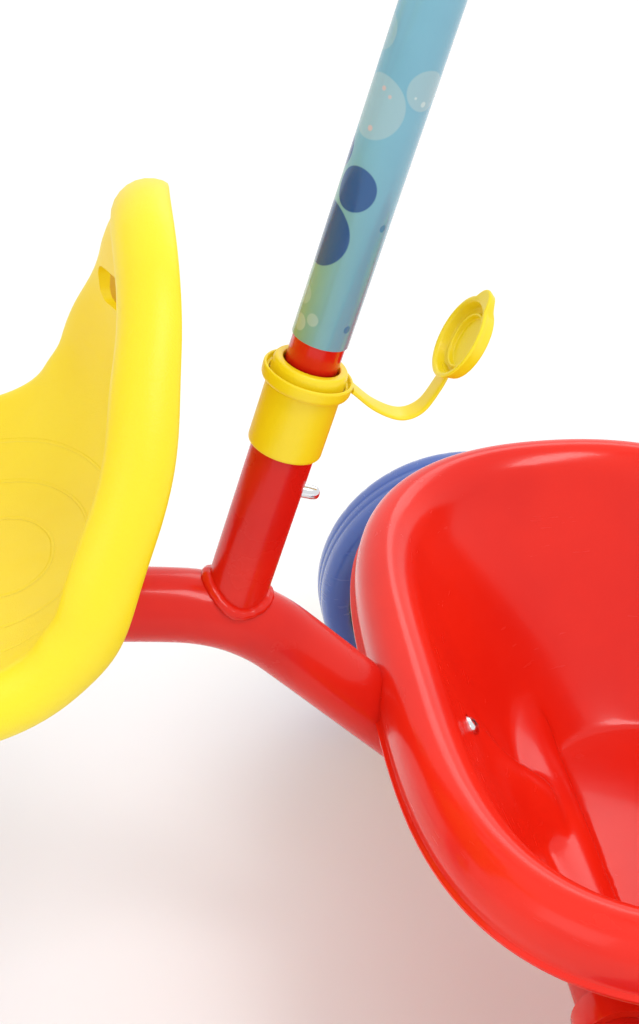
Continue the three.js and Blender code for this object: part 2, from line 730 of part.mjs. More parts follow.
// ---------------------------------------------------------------- push bar
function addPushBar() {
  const barEnd = pushBarInset + pushBarLength;
  const hole = rod(buttonD / 2 + runGap, -40, 0, onBar(buttonAt), barFront, 16);
  const bar = ring(pushBarD / 2 - pushBarWall, pushBarD / 2, pushBarInset, barEnd, barFoot, barAxis, 18);
  addPiece("push_bar", bar.subtract(hole), redPaint());
  const sleeveInner = pushBarD / 2 + touchGap;
  addPiece(
    "push_bar_sleeve",
    ring(sleeveInner, sleeveD / 2, sleeveBottom, sleeveBottom + sleeveLength, barFoot, barAxis, 20),
    printedSleeve(),
  );
  // A moulded tee caps the bar and holds the cross handle.
  const top = onBar(barEnd + 6);
  const crossR = pushBarD / 2 - 1.5;
  const body = rod(pushBarD / 2 + 4.5, -44, 16, top, barAxis, 18).add(
    rod(crossR + 4, -30, 30, top, sideways, 18),
  );
  const tee = body
    .subtract(rod(pushBarD / 2 + touchGap, -80, -6 + touchGap, top, barAxis, 18))
    .subtract(rod(crossR + touchGap, -60, 60, top, sideways, 18));
  addPiece("handle_tee", tee, redPlastic());
  const cross = ring(crossR - pushBarWall, crossR, -handleHalf, handleHalf, top, sideways, 18);
  const socketHole = rod(pushBarD / 2 + 1, -80, -6 + touchGap, top, barAxis, 18);
  addPiece("handle_bar", cross.subtract(socketHole), redPaint());
  for (const [side, name] of [[1, "left"], [-1, "right"]]) {
    const grip = gripSolid(top, side, handleHalf, handleGripLength, crossR, handleGripD);
    addPiece("handle_grip_" + name, grip, bluePlastic());
  }
  const screwAt = onBar(barEnd - 20);
  const screw = [
    [0, pushBarD / 2 + 4.5 + touchGap], [4, pushBarD / 2 + 4.5 + touchGap], [3.4, pushBarD / 2 + 6.6],
    [0, pushBarD / 2 + 7.2],
  ];
  addPiece("handle_screw", turned(screw, screwAt, barFront.clone().negate(), 16), steel());
}

// A moulded grip over the end of a tube along Y: closed at its outer end, with a flange at its inner end.
function gripSolid(centre, side, tubeHalf, length, tubeR, outerD) {
  const inner = tubeR + touchGap;
  const r = outerD / 2;
  const end = tubeHalf + touchGap;
  const from = tubeHalf - length;
  const profile = [
    [inner, from], [r + 6, from], [r + 6, from + 4], [r - 1, from + 6], [r - 1, from + 14], [r, from + 24],
    [r - 1.4, from + length * 0.55], [r, end - 10], [r + 1.2, end - 3], [r - 2, end + 3],
    [0, end + 4], [0, end], [inner, end],
    [inner, from],
  ];
  return turned(profile, centre, sideways.clone().multiplyScalar(side), 16);
}

// ---------------------------------------------------------------- steering
function addSteering() {
  const crown = onSteering(crownAt);
  const steererTop = headTubeEnd + 16 + stemHeight;
  const legBottom = frontAxle.clone();
  const shoulder = onSteering(crownAt - 4).addScaledVector(headFront, 4);
  const fork = bentPath(
    [
      legBottom.clone().setY(forkLegY),
      shoulder.clone().setY(forkLegY),
      crown.clone().setY(0).addScaledVector(headAxis, 2),
      shoulder.clone().setY(-forkLegY),
      legBottom.clone().setY(-forkLegY),
    ],
    18,
  );
  const forkTube = sweep(fork, forkTubeD / 2, 0, 12);
  const steererR = steererD / 2;
  const steererFoot = rod(steererR + touchGap, 0, steererTop, steerBase, headAxis, 18).intersect(
    rod(60, crownAt + 6, steererTop, steerBase, headAxis, 18),
  );
  const dropouts = [1, -1].map((side) =>
    rod(14, forkLegY - 3, forkLegY + 3, frontAxle, sideways.clone().multiplyScalar(side), 20),
  );
  const bushR = crankRodD / 2 + 2.5;
  let forkSolid = forkTube.subtract(steererFoot);
  for (const dropout of dropouts) forkSolid = forkSolid.add(dropout);
  forkSolid = forkSolid.subtract(rod(bushR + touchGap, -80, 80, frontAxle, sideways, 20));
  addPiece("fork", forkSolid, redPaint());

  addPiece("steerer", rod(steererR, crownAt + 6 + touchGap, steererTop, steerBase, headAxis, 18), steel());

  // Flanged bushes between the head tube and the steerer stay in the head tube.
  for (const [name, from, way] of [["lower", headTubeAt, -1], ["upper", headTubeEnd, 1]]) {
    const inner = steererR + runGap / 2;
    const outer = steererR + 3.5 - touchGap;
    const loop = [
      [inner, -14], [outer, -14], [outer, touchGap], [headTubeD / 2 + 1, touchGap], [headTubeD / 2 + 1, 6],
      [inner, 6], [inner, -14],
    ];
    addPiece(
      "head_bush_" + name,
      turned(loop, onSteering(from), headAxis.clone().multiplyScalar(way), 16),
      darkPlastic(),
    );
  }
  const raceTop = headTubeAt - 6 - runGap;
  const crownPlate = ring(steererR + touchGap, headTubeD / 2, crownAt + 11, raceTop, steerBase, headAxis, 18);
  addPiece("crown_race", crownPlate.subtract(sweep(fork, forkTubeD / 2 + touchGap, 0, 12)), steel());

  // Handlebar: up from the stem, out and back to the grips.
  const stemAt = steererTop - stemHeight / 2;
  const stem = onSteering(stemAt).addScaledVector(headFront, 2);
  const low = 34;
  const top = stem.clone().add(new THREE.Vector3(-handlebarBack, 0, handlebarRise));
  const bar = bentPath(
    [
      top.clone().setY(handlebarHalf).add(new THREE.Vector3(-handlebarSweep, 0, 0)),
      top.clone().setY(handlebarHalf - gripLength - gripInset),
      stem.clone().setY(low).add(new THREE.Vector3(24, 0, 0)),
      stem.clone().setY(-low).add(new THREE.Vector3(24, 0, 0)),
      top.clone().setY(-handlebarHalf + gripLength + gripInset),
      top.clone().setY(-handlebarHalf).add(new THREE.Vector3(-handlebarSweep, 0, 0)),
    ],
    30,
  );
  addPiece("handlebar", sweep(bar, handlebarD / 2, handlebarD / 2 - 1.5, 12), redPaint());
  const clampAt = stem.clone().add(new THREE.Vector3(24, 0, 0));
  const stemFoot = stemAt - stemHeight / 2 + 2;
  const stemHead = stemAt + stemHeight / 2 + 8;
  const stemBody = rod(steererR + 6, stemFoot, stemHead, steerBase, headAxis, 18)
    .add(rod(handlebarD / 2 + 6, -24, 24, clampAt, sideways, 18))
    .add(block([30, 34, 26], stem.clone().add(new THREE.Vector3(12, 0, 0)), -headLean))
    .subtract(rod(steererR + touchGap, 0, steererTop + touchGap, steerBase, headAxis, 18))
    .subtract(sweep(bar, handlebarD / 2 + touchGap, 0, 12));
  addPiece("stem", stemBody, yellowPlastic());
  const boltTop = stemHead;
  const boltFoot = boltTop + touchGap;
  const cap = [[0, boltFoot], [7, boltFoot], [7, boltTop + 4], [4, boltTop + 6], [0, boltTop + 6]];
  addPiece("stem_bolt", turned(cap, steerBase, headAxis, 6), steel());

  for (const [side, name] of [[1, "left"], [-1, "right"]]) {
    const end = top.clone().setY(side * handlebarHalf).add(new THREE.Vector3(-handlebarSweep, 0, 0));
    const root = top.clone().setY(side * (handlebarHalf - gripLength - gripInset));
    const axis = end.clone().sub(root).normalize();
    const span = end.distanceTo(root);
    const inner = handlebarD / 2 + touchGap;
    const r = gripD / 2;
    const from = span - gripLength;
    const profile = [
      [inner, from], [r + 7, from], [r + 7, from + 4], [r, from + 6], [r - 1.5, from + 20], [r, from + 45],
      [r - 1.5, span - 20], [r + 1, span - 3], [r - 2, span + 4],
      [0, span + 5], [0, span + touchGap], [inner, span + touchGap],
      [inner, from],
    ];
    addPiece("grip_" + name, turned(profile, root, axis, 16), yellowPlastic());
    const mouth = frontAxle.clone().setY(side * forkLegY);
    const outwards = sideways.clone().multiplyScalar(side);
    const bush = ring(crankRodD / 2 + runGap / 2, bushR, -9, 5, mouth, outwards, 18);
    addPiece("fork_bush_" + name, bush, darkPlastic());
  }
}

// ---------------------------------------------------------------- wheels
// A tyre ring and a dished hub, both turned about the axle.
function tyreSolid(centre, radius, width, depth) {
  const half = width / 2;
  const bore = radius - depth;
  const profile = [
    [bore, -half + 5], [bore + 3, -half + 1], [radius - 9, -half], [radius - 3, -half + 3.5],
    [radius, -half + 10],
    [radius, half - 10], [radius - 3, half - 3.5], [radius - 9, half], [bore + 3, half - 1], [bore, half - 5],
    [bore, -half + 5],
  ];
  return turned(profile, centre, sideways, wheelSides);
}

function hubSolid(centre, radius, width, boreR) {
  const half = width / 2;
  const flange = radius - touchGap;
  const profile = [
    [boreR, -half - 2], [16, -half - 2], [17, -half + 6], [24, -5],
    [radius - 17, -4], [radius - 11, -half + 8],
    [flange - 1, -half + 7], [flange, -half + 9], [flange, half - 9], [flange - 1, half - 7],
    [radius - 11, half - 8], [radius - 17, 4], [24, 5], [17, half - 6], [16, half + 2],
    [boreR, half + 2], [boreR, -half - 2],
  ];
  return turned(profile, centre, sideways, wheelSides);
}

function addRearWheel(side, name) {
  const centre = rearAxle.clone().setY(side * (rearWheelInnerY + rearWheelWidth / 2));
  const bore = rearWheelR - rearTyreDepth;
  addPiece("rear_tyre_" + name, tyreSolid(centre, rearWheelR, rearWheelWidth, rearTyreDepth), bluePlastic());
  const hub = hubSolid(centre, bore, rearWheelWidth, axleRodD / 2 + runGap / 2);
  addPiece("rear_hub_" + name, hub, yellowPlastic());
  const face = rearWheelWidth / 2 + 2 + touchGap;
  const cap = [
    [axleRodD / 2 + touchGap, face], [15, face], [15, face + 4], [11, face + 9], [0, face + 11],
    [0, face + 7], [axleRodD / 2 + touchGap, face + 6], [axleRodD / 2 + touchGap, face],
  ];
  addPiece("hub_cap_" + name, turned(cap, centre, sideways.clone().multiplyScalar(side), 16), bluePlastic());
}

function addFrontWheel() {
  const bore = frontWheelR - frontTyreDepth;
  addPiece("front_tyre", tyreSolid(frontAxle, frontWheelR, frontWheelWidth, frontTyreDepth), bluePlastic());
  const hub = hubSolid(frontAxle, bore, frontWheelWidth - 2, crankRodD / 2 + touchGap);
  addPiece("front_hub", hub, yellowPlastic());

  // One bent rod is both cranks, the axle and the pedal spindles.
  const swing = forwards.clone().multiplyScalar(crankLength);
  const spindle = crankY + pedalLength + 14;
  const path = bentPath(
    [
      frontAxle.clone().add(swing).setY(spindle),
      frontAxle.clone().add(swing).setY(crankY),
      frontAxle.clone().setY(crankY),
      frontAxle.clone().setY(-crankY),
      frontAxle.clone().sub(swing).setY(-crankY),
      frontAxle.clone().sub(swing).setY(-spindle),
    ],
    9,
  );
  addPiece("crank_rod", sweep(path, crankRodD / 2, 0, 10), steel());
  for (const [side, name] of [[1, "left"], [-1, "right"]]) {
    const centre = frontAxle.clone().addScaledVector(swing, side);
    centre.setY(side * (crankY + 10 + pedalLength / 2));
    const tread = new THREE.Shape();
    const corner = 9;
    const halfW = pedalWidth / 2;
    const halfT = pedalThickness / 2;
    tread.moveTo(-halfW + corner, -halfT);
    tread.lineTo(halfW - corner, -halfT);
    tread.quadraticCurveTo(halfW, -halfT, halfW, 0);
    tread.quadraticCurveTo(halfW, halfT, halfW - corner, halfT);
    tread.lineTo(-halfW + corner, halfT);
    tread.quadraticCurveTo(-halfW, halfT, -halfW, 0);
    tread.quadraticCurveTo(-halfW, -halfT, -halfW + corner, -halfT);
    const shape = { depth: pedalLength, bevelEnabled: false, curveSegments: 5 };
    const geometry = new THREE.ExtrudeGeometry(tread, shape);
    geometry.rotateX(Math.PI / 2);
    geometry.translate(centre.x, centre.y + pedalLength / 2, centre.z);
    const spindleBore = rod(crankRodD / 2 + runGap / 2, -200, 200, centre, sideways, 18);
    addPiece("pedal_" + name, toSolid(geometry).subtract(spindleBore), bluePlastic());
    const nutAt = centre.clone().setY(side * (crankY + 10 + pedalLength + 1 + touchGap));
    const nut = ring(crankRodD / 2 + touchGap, 8.5, 0, 5, nutAt, sideways.clone().multiplyScalar(side), 16);
    addPiece("pedal_nut_" + name, nut, steel());
  }
}

addFrame();
addSeat();
addTub();
addTubFixings();
addCollar();
addCap();
addButton();
addPushBar();
addSteering();
addRearWheel(1, "left");
addRearWheel(-1, "right");
addFrontWheel();

export default tricycle;
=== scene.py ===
"""A children's tricycle: shapes and materials for each piece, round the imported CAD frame."""

import random
from math import copysign, cos, pi, radians, sin, tau

import bmesh
import bpy
import numpy as np
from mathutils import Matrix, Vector
from numpy.linalg import norm


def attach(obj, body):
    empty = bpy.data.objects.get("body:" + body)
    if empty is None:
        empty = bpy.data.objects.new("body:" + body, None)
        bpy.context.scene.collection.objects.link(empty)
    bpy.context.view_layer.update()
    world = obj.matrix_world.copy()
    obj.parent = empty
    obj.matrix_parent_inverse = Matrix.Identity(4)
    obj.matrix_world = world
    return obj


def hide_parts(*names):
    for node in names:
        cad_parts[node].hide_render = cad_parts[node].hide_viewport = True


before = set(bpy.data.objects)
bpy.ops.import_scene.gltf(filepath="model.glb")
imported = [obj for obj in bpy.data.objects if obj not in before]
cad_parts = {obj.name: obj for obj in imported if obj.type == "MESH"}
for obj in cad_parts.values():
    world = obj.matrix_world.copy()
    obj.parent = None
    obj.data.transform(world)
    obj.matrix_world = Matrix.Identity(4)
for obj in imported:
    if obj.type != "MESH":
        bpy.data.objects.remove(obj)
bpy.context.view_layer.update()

# ------------------------------------------------------------ camera
MIDDLE_X = 65.25
JUNCTION_Z = 251.0


def at(x, z, y=0.0):
    """A point in metres from millimetres ahead of, above and to the left of the frame's junction."""
    return np.array([x - MIDDLE_X, y, z + JUNCTION_Z]) / 1000


def linked(name, data):
    """An object in the scene."""
    obj = bpy.data.objects.new(name, data)
    bpy.context.scene.collection.objects.link(obj)
    return obj


camera = linked("camera", bpy.data.cameras.new("camera"))
camera.location = at(40.1, 425.8, 582.1)
turn, tilt = radians(7.5), radians(32.627)
look = Vector((-sin(turn) * cos(tilt), -cos(turn) * cos(tilt), -sin(tilt)))
camera.rotation_euler = look.to_track_quat("-Z", "Y").to_euler()
camera.data.lens = 55.62
camera.data.sensor_width = 36
bpy.context.scene.camera = camera
bpy.context.scene.view_settings.view_transform = "Standard"

# ------------------------------------------------------------ sizes, in millimetres
rearAxleX, rearAxleZ = -157.0, -161.0
frontAxleX, frontAxleZ = 338.0, -131.0
barLean, headLean = radians(17.2), radians(18.6)
X, Y, Z = np.eye(3)


def up_axis(lean):
    return np.array([-sin(lean), 0, cos(lean)])


def front_axis(lean):
    return np.array([cos(lean), 0, sin(lean)])


bar_axis, bar_front = up_axis(barLean), front_axis(barLean)
head_axis, head_front = up_axis(headLean), front_axis(headLean)
bar_foot = at(5, 0)
rear_axle = at(rearAxleX, rearAxleZ)
front_axle = at(frontAxleX, frontAxleZ)
steer_base = front_axle - head_front * 0.025


def on_bar(s):
    return bar_foot + bar_axis * s / 1000


def on_steering(s):
    return steer_base + head_axis * s / 1000


# ------------------------------------------------------------ mesh code
def unit(v):
    return v / max(1e-12, norm(v))


def power(v, exponent):
    """A power that keeps its sign."""
    return copysign(abs(v) ** exponent, v)


def rounding(n):
    """Round the four corners of a plate: each corner's signs, and the cosine and sine of the turn."""
    for x, y, start in ((1, 1, 0), (-1, 1, 90), (-1, -1, 180), (1, -1, 270)):
        for k in range(n + 1):
            t = radians(start + 90 * k / n)
            yield x, y, cos(t), sin(t)


def basis(axis):
    """Two directions square to an axis."""
    axis = unit(np.array(axis, float))
    helper = Y if abs(axis[1]) < 0.9 else Z
    e1 = unit(np.cross(helper, axis))
    return e1, np.cross(axis, e1), axis


def soften(points, reach, steps=4, closed=False):
    """The same line with each corner rounded."""
    pts = [np.array(p, float) for p in points]
    n = len(pts)
    out = []
    for i, p in enumerate(pts):
        if not closed and i in (0, n - 1):
            out.append(p)
            continue
        a, b = pts[i - 1], pts[(i + 1) % n]
        la, lb = norm(a - p), norm(b - p)
        ra, rb = min(reach, la * 0.48), min(reach, lb * 0.48)
        start, end = p + (a - p) * ra / max(la, 1e-9), p + (b - p) * rb / max(lb, 1e-9)
        for k in range(steps + 1):
            t = k / steps
            out.append(start * (1 - t) ** 2 + 2 * p * t * (1 - t) + end * t * t)
    return out


def spline(points, per=10):
    """A smooth line through points (Catmull-Rom)."""
    p = np.array(points, float)
    p = np.vstack([2 * p[0] - p[1], p, 2 * p[-1] - p[-2]])
    out = []
    for i in range(1, len(p) - 2):
        for k in range(per):
            t = k / per
            a, b, c, d = p[i - 1], p[i], p[i + 1], p[i + 2]
            second, third = 2 * a - 5 * b + 4 * c - d, 3 * b - a - 3 * c + d
            out.append(0.5 * (2 * b + (c - a) * t + second * t * t + third * t ** 3))
    out.append(p[-2])
    return out


def loft(rings, close=True, start=None, end=None):
    """A skin over rings of points. start and end are middle points that close the ends."""
    rings = [np.array(r, float) for r in rings]
    n = len(rings[0])
    verts = np.vstack(rings)
    faces = []
    for k in range(len(rings) - 1):
        for i in range(n if close else n - 1):
            j = (i + 1) % n
            faces.append((k * n + i, k * n + j, (k + 1) * n + j, (k + 1) * n + i))
    extra = []
    for middle, k in ((start, 0), (end, len(rings) - 1)):
        if middle is None:
            continue
        extra.append(middle)
        c = len(verts) + len(extra) - 1
        for i in range(n):
            j = (i + 1) % n
            faces.append((c, k * n + j, k * n + i) if k == 0 else (c, k * n + i, k * n + j))
    if extra:
        verts = np.vstack([verts, np.array(extra)])
    return verts, faces


def lathe(profile, centre, axis, n=96, wave=None):
    """A turned skin. The profile is [radius, height] in millimetres, and wave(radius, height, angle) may move a
    point to a new radius and height."""
    e1, e2, e3 = basis(axis)
    closed = np.allclose(profile[0], profile[-1])
    rings = []
    for r, h in profile[:-1] if closed else profile:
        ring = []
        for i in range(n):
            angle = tau * i / n
            rr, hh = wave(r, h, angle) if wave else (r, h)
            ring.append(centre + (e1 * cos(angle) * rr + e2 * sin(angle) * rr + e3 * hh) / 1000)
        rings.append(ring)
    if closed:
        rings.append(rings[0])
        return loft(rings)
    ends = []
    for k in (0, -1):
        ends.append(centre + e3 * profile[k][1] / 1000 if profile[k][0] < 1e-6 else None)
    if ends[0] is not None:
        rings = rings[1:]
    if ends[1] is not None:
        rings = rings[:-1]
    return loft(rings, True, *ends)


def tube(path, radius, n=40, bore=None, section=None):
    """A round bar, or a tube where bore is given, along a path. section(angle) may give its own outline."""
    path = [np.array(p, float) for p in path]
    m = len(path)
    tangents = [unit(path[min(i + 1, m - 1)] - path[max(i - 1, 0)]) for i in range(m)]
    e1 = unit(np.cross(tangents[0], Y if abs(tangents[0][1]) < 0.9 else Z))
    frames = []
    for t in tangents:
        e1 = unit(e1 - t * np.dot(e1, t))
        frames.append((e1, np.cross(t, e1)))

    def ring(i, r, push=0.0):
        a, b = frames[i]
        out = []
        for k in range(n):
            angle = tau * k / n
            u, v = (r * cos(angle), r * sin(angle)) if section is None else section(angle, r)
            out.append(path[i] + (a * u + b * v + tangents[i] * push) / 1000)
        return out

    edge = min(0.8, radius * 0.2)
    outer = [ring(0, radius - edge)] + [ring(0, radius, edge)] + [ring(i, radius) for i in range(1, m - 1)]
    outer += [ring(m - 1, radius, -edge), ring(m - 1, radius - edge)]
    if bore is None:
        return loft(outer, True, path[0], path[-1])
    inner = [ring(i, bore) for i in range(m)]
    return loft(outer + inner[::-1] + [outer[0]])


def bent(points, reach, steps=10):
    """Straight runs with a curve at each corner."""
    return soften(points, reach / 1000, steps)


def join(*parts):
    verts, faces = [], []
    for v, f in parts:
        base = sum(len(x) for x in verts)
        verts.append(np.array(v))
        faces += [tuple(i + base for i in face) for face in f]
    return np.vstack(verts), faces


def piece(name, mesh, material, body, slot, *nodes, angle=38, weld=1e-6, cut=(), add=()):
    """An object from a mesh, smooth but for edges sharper than the angle, riding on a body."""
    obj = mesh_object(name, mesh, weld)
    for kind, others in (("UNION", add), ("DIFFERENCE", cut)):
        for other in others:
            boolean(obj, other, kind)
    data = obj.data
    bm = bmesh.new()
    bm.from_mesh(data)
    for face in bm.faces:
        face.smooth = True
    limit = radians(angle)
    for edge in bm.edges:
        edge.smooth = len(edge.link_faces) == 2 and edge.calc_face_angle(0) < limit
    bm.to_mesh(data)
    bm.free()
    data.materials.clear()
    data.materials.append(material)
    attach(obj, body)
    if nodes:
        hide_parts(*nodes)


def mesh_object(name, mesh, weld=1e-6):
    """An object from points and faces, with near points joined and its faces turned outwards."""
    data = bpy.data.meshes.new(name)
    data.from_pydata([tuple(v) for v in mesh[0]], [], [tuple(f) for f in mesh[1]])
    bm = bmesh.new()
    bm.from_mesh(data)
    bmesh.ops.remove_doubles(bm, verts=bm.verts, dist=weld)
    bmesh.ops.recalc_face_normals(bm, faces=bm.faces)
    bm.to_mesh(data)
    bm.free()
    return linked(name, data)


def boolean(obj, mesh, kind):
    """Joins a mesh to an object, or cuts it away."""
    other = mesh_object("cutter", mesh)
    change = obj.modifiers.new("change", "BOOLEAN")
    change.operation = kind
    change.object = other
    change.solver = "EXACT"
    graph = bpy.context.evaluated_depsgraph_get()
    result = bpy.data.meshes.new_from_object(obj.evaluated_get(graph))
    obj.modifiers.clear()
    old = obj.data
    obj.data = result
    result.name = old.name
    data = other.data
    bpy.data.objects.remove(other)
    bpy.data.meshes.remove(data)
    bpy.data.meshes.remove(old)


def smoothed(mesh, factor, rounds, hold=None):
    """The mesh relaxed towards its neighbours' middles, where hold is below one."""
    verts, faces = np.array(mesh[0]), mesh[1]
    edges = np.array(sorted({tuple(sorted((f[i], f[(i + 1) % len(f)]))) for f in faces for i in range(len(f))}))
    count = np.bincount(edges.ravel(), minlength=len(verts))[:, None]
    free = np.ones((len(verts), 1)) if hold is None else (1 - np.array(hold))[:, None]
    for _ in range(rounds):
        total = np.zeros_like(verts)
        np.add.at(total, edges[:, 0], verts[edges[:, 1]])
        np.add.at(total, edges[:, 1], verts[edges[:, 0]])
        verts += (total / np.maximum(count, 1) - verts) * factor * free
    return verts, faces


# ------------------------------------------------------------ materials
class Shader:
    """A Principled material with helpers that add nodes."""

    def __init__(self, name, color, roughness, **sockets):
        self.material = bpy.data.materials.new(name)
        self.material.use_nodes = True
        self.tree = self.material.node_tree
        self.bsdf = self.tree.nodes["Principled BSDF"]
        self.bsdf.inputs["Base Color"].default_value = (*color, 1)
        self.bsdf.inputs["Roughness"].default_value = roughness
        for key, value in sockets.items():
            self.bsdf.inputs[key.replace("_", " ")].default_value = value
        self.normal = None
        self.place = self.node("ShaderNodeTexCoord").outputs["Object"]

    def node(self, kind, **inputs):
        made = self.tree.nodes.new(kind)
        for key, value in inputs.items():
            self.feed(made.inputs[key.replace("_", " ")], value)
        return made

    def feed(self, socket, value):
        if isinstance(value, bpy.types.NodeSocket):
            self.tree.links.new(value, socket)
        else:
            socket.default_value = value

    def math(self, operation, a, b=0.0, c=0.0):
        made = self.tree.nodes.new("ShaderNodeMath")
        made.operation = operation
        for socket, value in zip(made.inputs, (a, b, c)):
            self.feed(socket, value)
        return made.outputs[0]

    def noise(self, scale, detail=3.0, stretch=None):
        place = self.place
        if stretch:
            mapping = self.node("ShaderNodeMapping", Vector=place)
            mapping.inputs["Scale"].default_value = stretch
            place = mapping.outputs[0]
        return self.node("ShaderNodeTexNoise", Vector=place, Scale=scale, Detail=detail).outputs["Fac"]

    def ranged(self, value, low, high, to_low, to_high, smooth=False):
        made = self.node("ShaderNodeMapRange", Value=value)
        made.interpolation_type = "SMOOTHSTEP" if smooth else "LINEAR"
        for key, number in zip(("From Min", "From Max", "To Min", "To Max"), (low, high, to_low, to_high)):
            made.inputs[key].default_value = number
        return made.outputs[0]

    def mix(self, fac, a, b):
        made = self.tree.nodes.new("ShaderNodeMix")
        made.data_type = "RGBA"
        self.feed(made.inputs[0], fac)
        for socket, value in ((made.inputs[6], a), (made.inputs[7], b)):
            self.feed(socket, value if isinstance(value, bpy.types.NodeSocket) else (*value, 1))
        return made.outputs[2]

    def bump(self, height, distance, strength=1.0):
        made = self.node("ShaderNodeBump", Height=height, Distance=distance, Strength=strength)
        if self.normal is not None:
            self.feed(made.inputs["Normal"], self.normal)
        self.normal = made.outputs[0]
        self.feed(self.bsdf.inputs["Normal"], self.normal)

    def paint(self, socket):
        self.feed(self.bsdf.inputs["Base Color"], socket)

    def rough(self, socket):
        self.feed(self.bsdf.inputs["Roughness"], socket)


def plastic(name, color, shade, roughness, grain, grain_depth, **sockets):
    """A moulded plastic: a fine grain, slow changes of colour and gloss, and faint scuffs."""
    spread = 0.06
    s = Shader(name, color, roughness, **sockets)
    cloud = s.ranged(s.noise(9, 4), 0.35, 0.65, 0, 1, True)
    speck = s.ranged(s.noise(700, 2), 0.3, 0.7, 0, 0.35)
    s.paint(s.mix(s.math("MULTIPLY", speck, 0.5), s.mix(cloud, color, shade), shade))
    scuff = s.ranged(s.noise(60, 8, (1, 1, 6)), 0.58, 0.72, 0, spread)
    soft = s.ranged(s.noise(25, 5), 0.3, 0.7, roughness - spread / 2, roughness + spread / 2)
    s.rough(s.math("ADD", soft, scuff))
    s.bump(s.noise(grain, 2), grain_depth)
    s.bump(s.noise(45, 3), grain_depth * 6, 0.5)
    return s


def paint_coat(name, color, shade):
    """Powder-coated steel: a glossy coat with orange peel over a slightly uneven colour."""
    s = Shader(name, color, 0.3, Coat_Weight=0.25, Coat_Roughness=0.06, Coat_IOR=1.45, Specular_IOR_Level=0.2)
    s.paint(s.mix(s.ranged(s.noise(14, 4), 0.3, 0.7, 0, 1, True), color, shade))
    s.rough(s.ranged(s.noise(30, 6), 0.3, 0.75, 0.2, 0.32))
    s.bump(s.noise(420, 2), 0.00006, 0.7)
    s.bump(s.noise(60, 2), 0.0002, 0.4)
    return s


def metal(name, color, roughness, brushed):
    s = Shader(name, color, roughness, Metallic=1.0)
    streak = s.noise(300, 4, brushed)
    s.rough(s.ranged(streak, 0.3, 0.7, roughness * 0.7, roughness * 1.6))
    s.paint(s.mix(s.ranged(s.noise(120, 5), 0.35, 0.7, 0, 0.5), color, tuple(c * 0.72 for c in color)))
    s.bump(streak, 0.00003, 0.5)
    return s


RED, RED_SHADE = (0.72, 0.016, 0.006), (0.62, 0.01, 0.005)
red_paint = paint_coat("red_powder_coat", RED, RED_SHADE)
red_plastic = plastic("red_moulding", (0.82, 0.02, 0.006), (0.74, 0.014, 0.005), 0.22, 900, 0.00003,
                      Coat_Weight=0.16, Coat_Roughness=0.07, Specular_IOR_Level=0.25)
yellow_plastic = plastic("yellow_moulding", (0.9, 0.72, 0.01), (0.86, 0.66, 0.006), 0.36, 1500, 0.0001)
blue_plastic = plastic("blue_moulding", (0.05, 0.13, 0.47), (0.04, 0.1, 0.4), 0.24, 1100, 0.00004,
                       Coat_Weight=0.35, Coat_Roughness=0.12)
dark_plastic = plastic("dark_moulding", (0.02, 0.02, 0.023), (0.03, 0.03, 0.033), 0.5, 1500, 0.0001)
steel = metal("plated_steel", (0.78, 0.79, 0.82), 0.14, (1, 8, 1))


def seat_plastic():
    """The seat's own moulding: fine grain, and three engraved ovals, one in another, about its base."""
    s = plastic("yellow_seat", (0.93, 0.75, 0.008), (0.89, 0.69, 0.006), 0.42, 1500, 0.00014)
    xyz = s.node("ShaderNodeSeparateXYZ", Vector=s.place)
    across = s.math("MULTIPLY", xyz.outputs[1], 1000.0)
    # How far down the seat: falls with height on the backrest, grows forwards on the base.
    down = s.math("MULTIPLY", s.math("SUBTRACT", xyz.outputs[0], xyz.outputs[2]), 1000.0)
    place = s.math("ADD", down, JUNCTION_Z + MIDDLE_X - 65.0)
    terms = []
    for value, reach in ((across, 85.0), (place, 70.0)):
        terms.append(s.math("POWER", s.math("ABSOLUTE", s.math("DIVIDE", value, reach)), 2.0))
    oval = s.math("SQRT", s.math("ADD", *terms))
    engraved = None
    for share in (0.36, 0.68, 1.0):
        line = s.ranged(s.math("ABSOLUTE", s.math("SUBTRACT", oval, share)), 0.008, 0.018, 1, 0, True)
        engraved = line if engraved is None else s.math("MAXIMUM", engraved, line)
    s.bump(s.math("MULTIPLY", engraved, -1.0), 0.0006, 0.5)
    return s


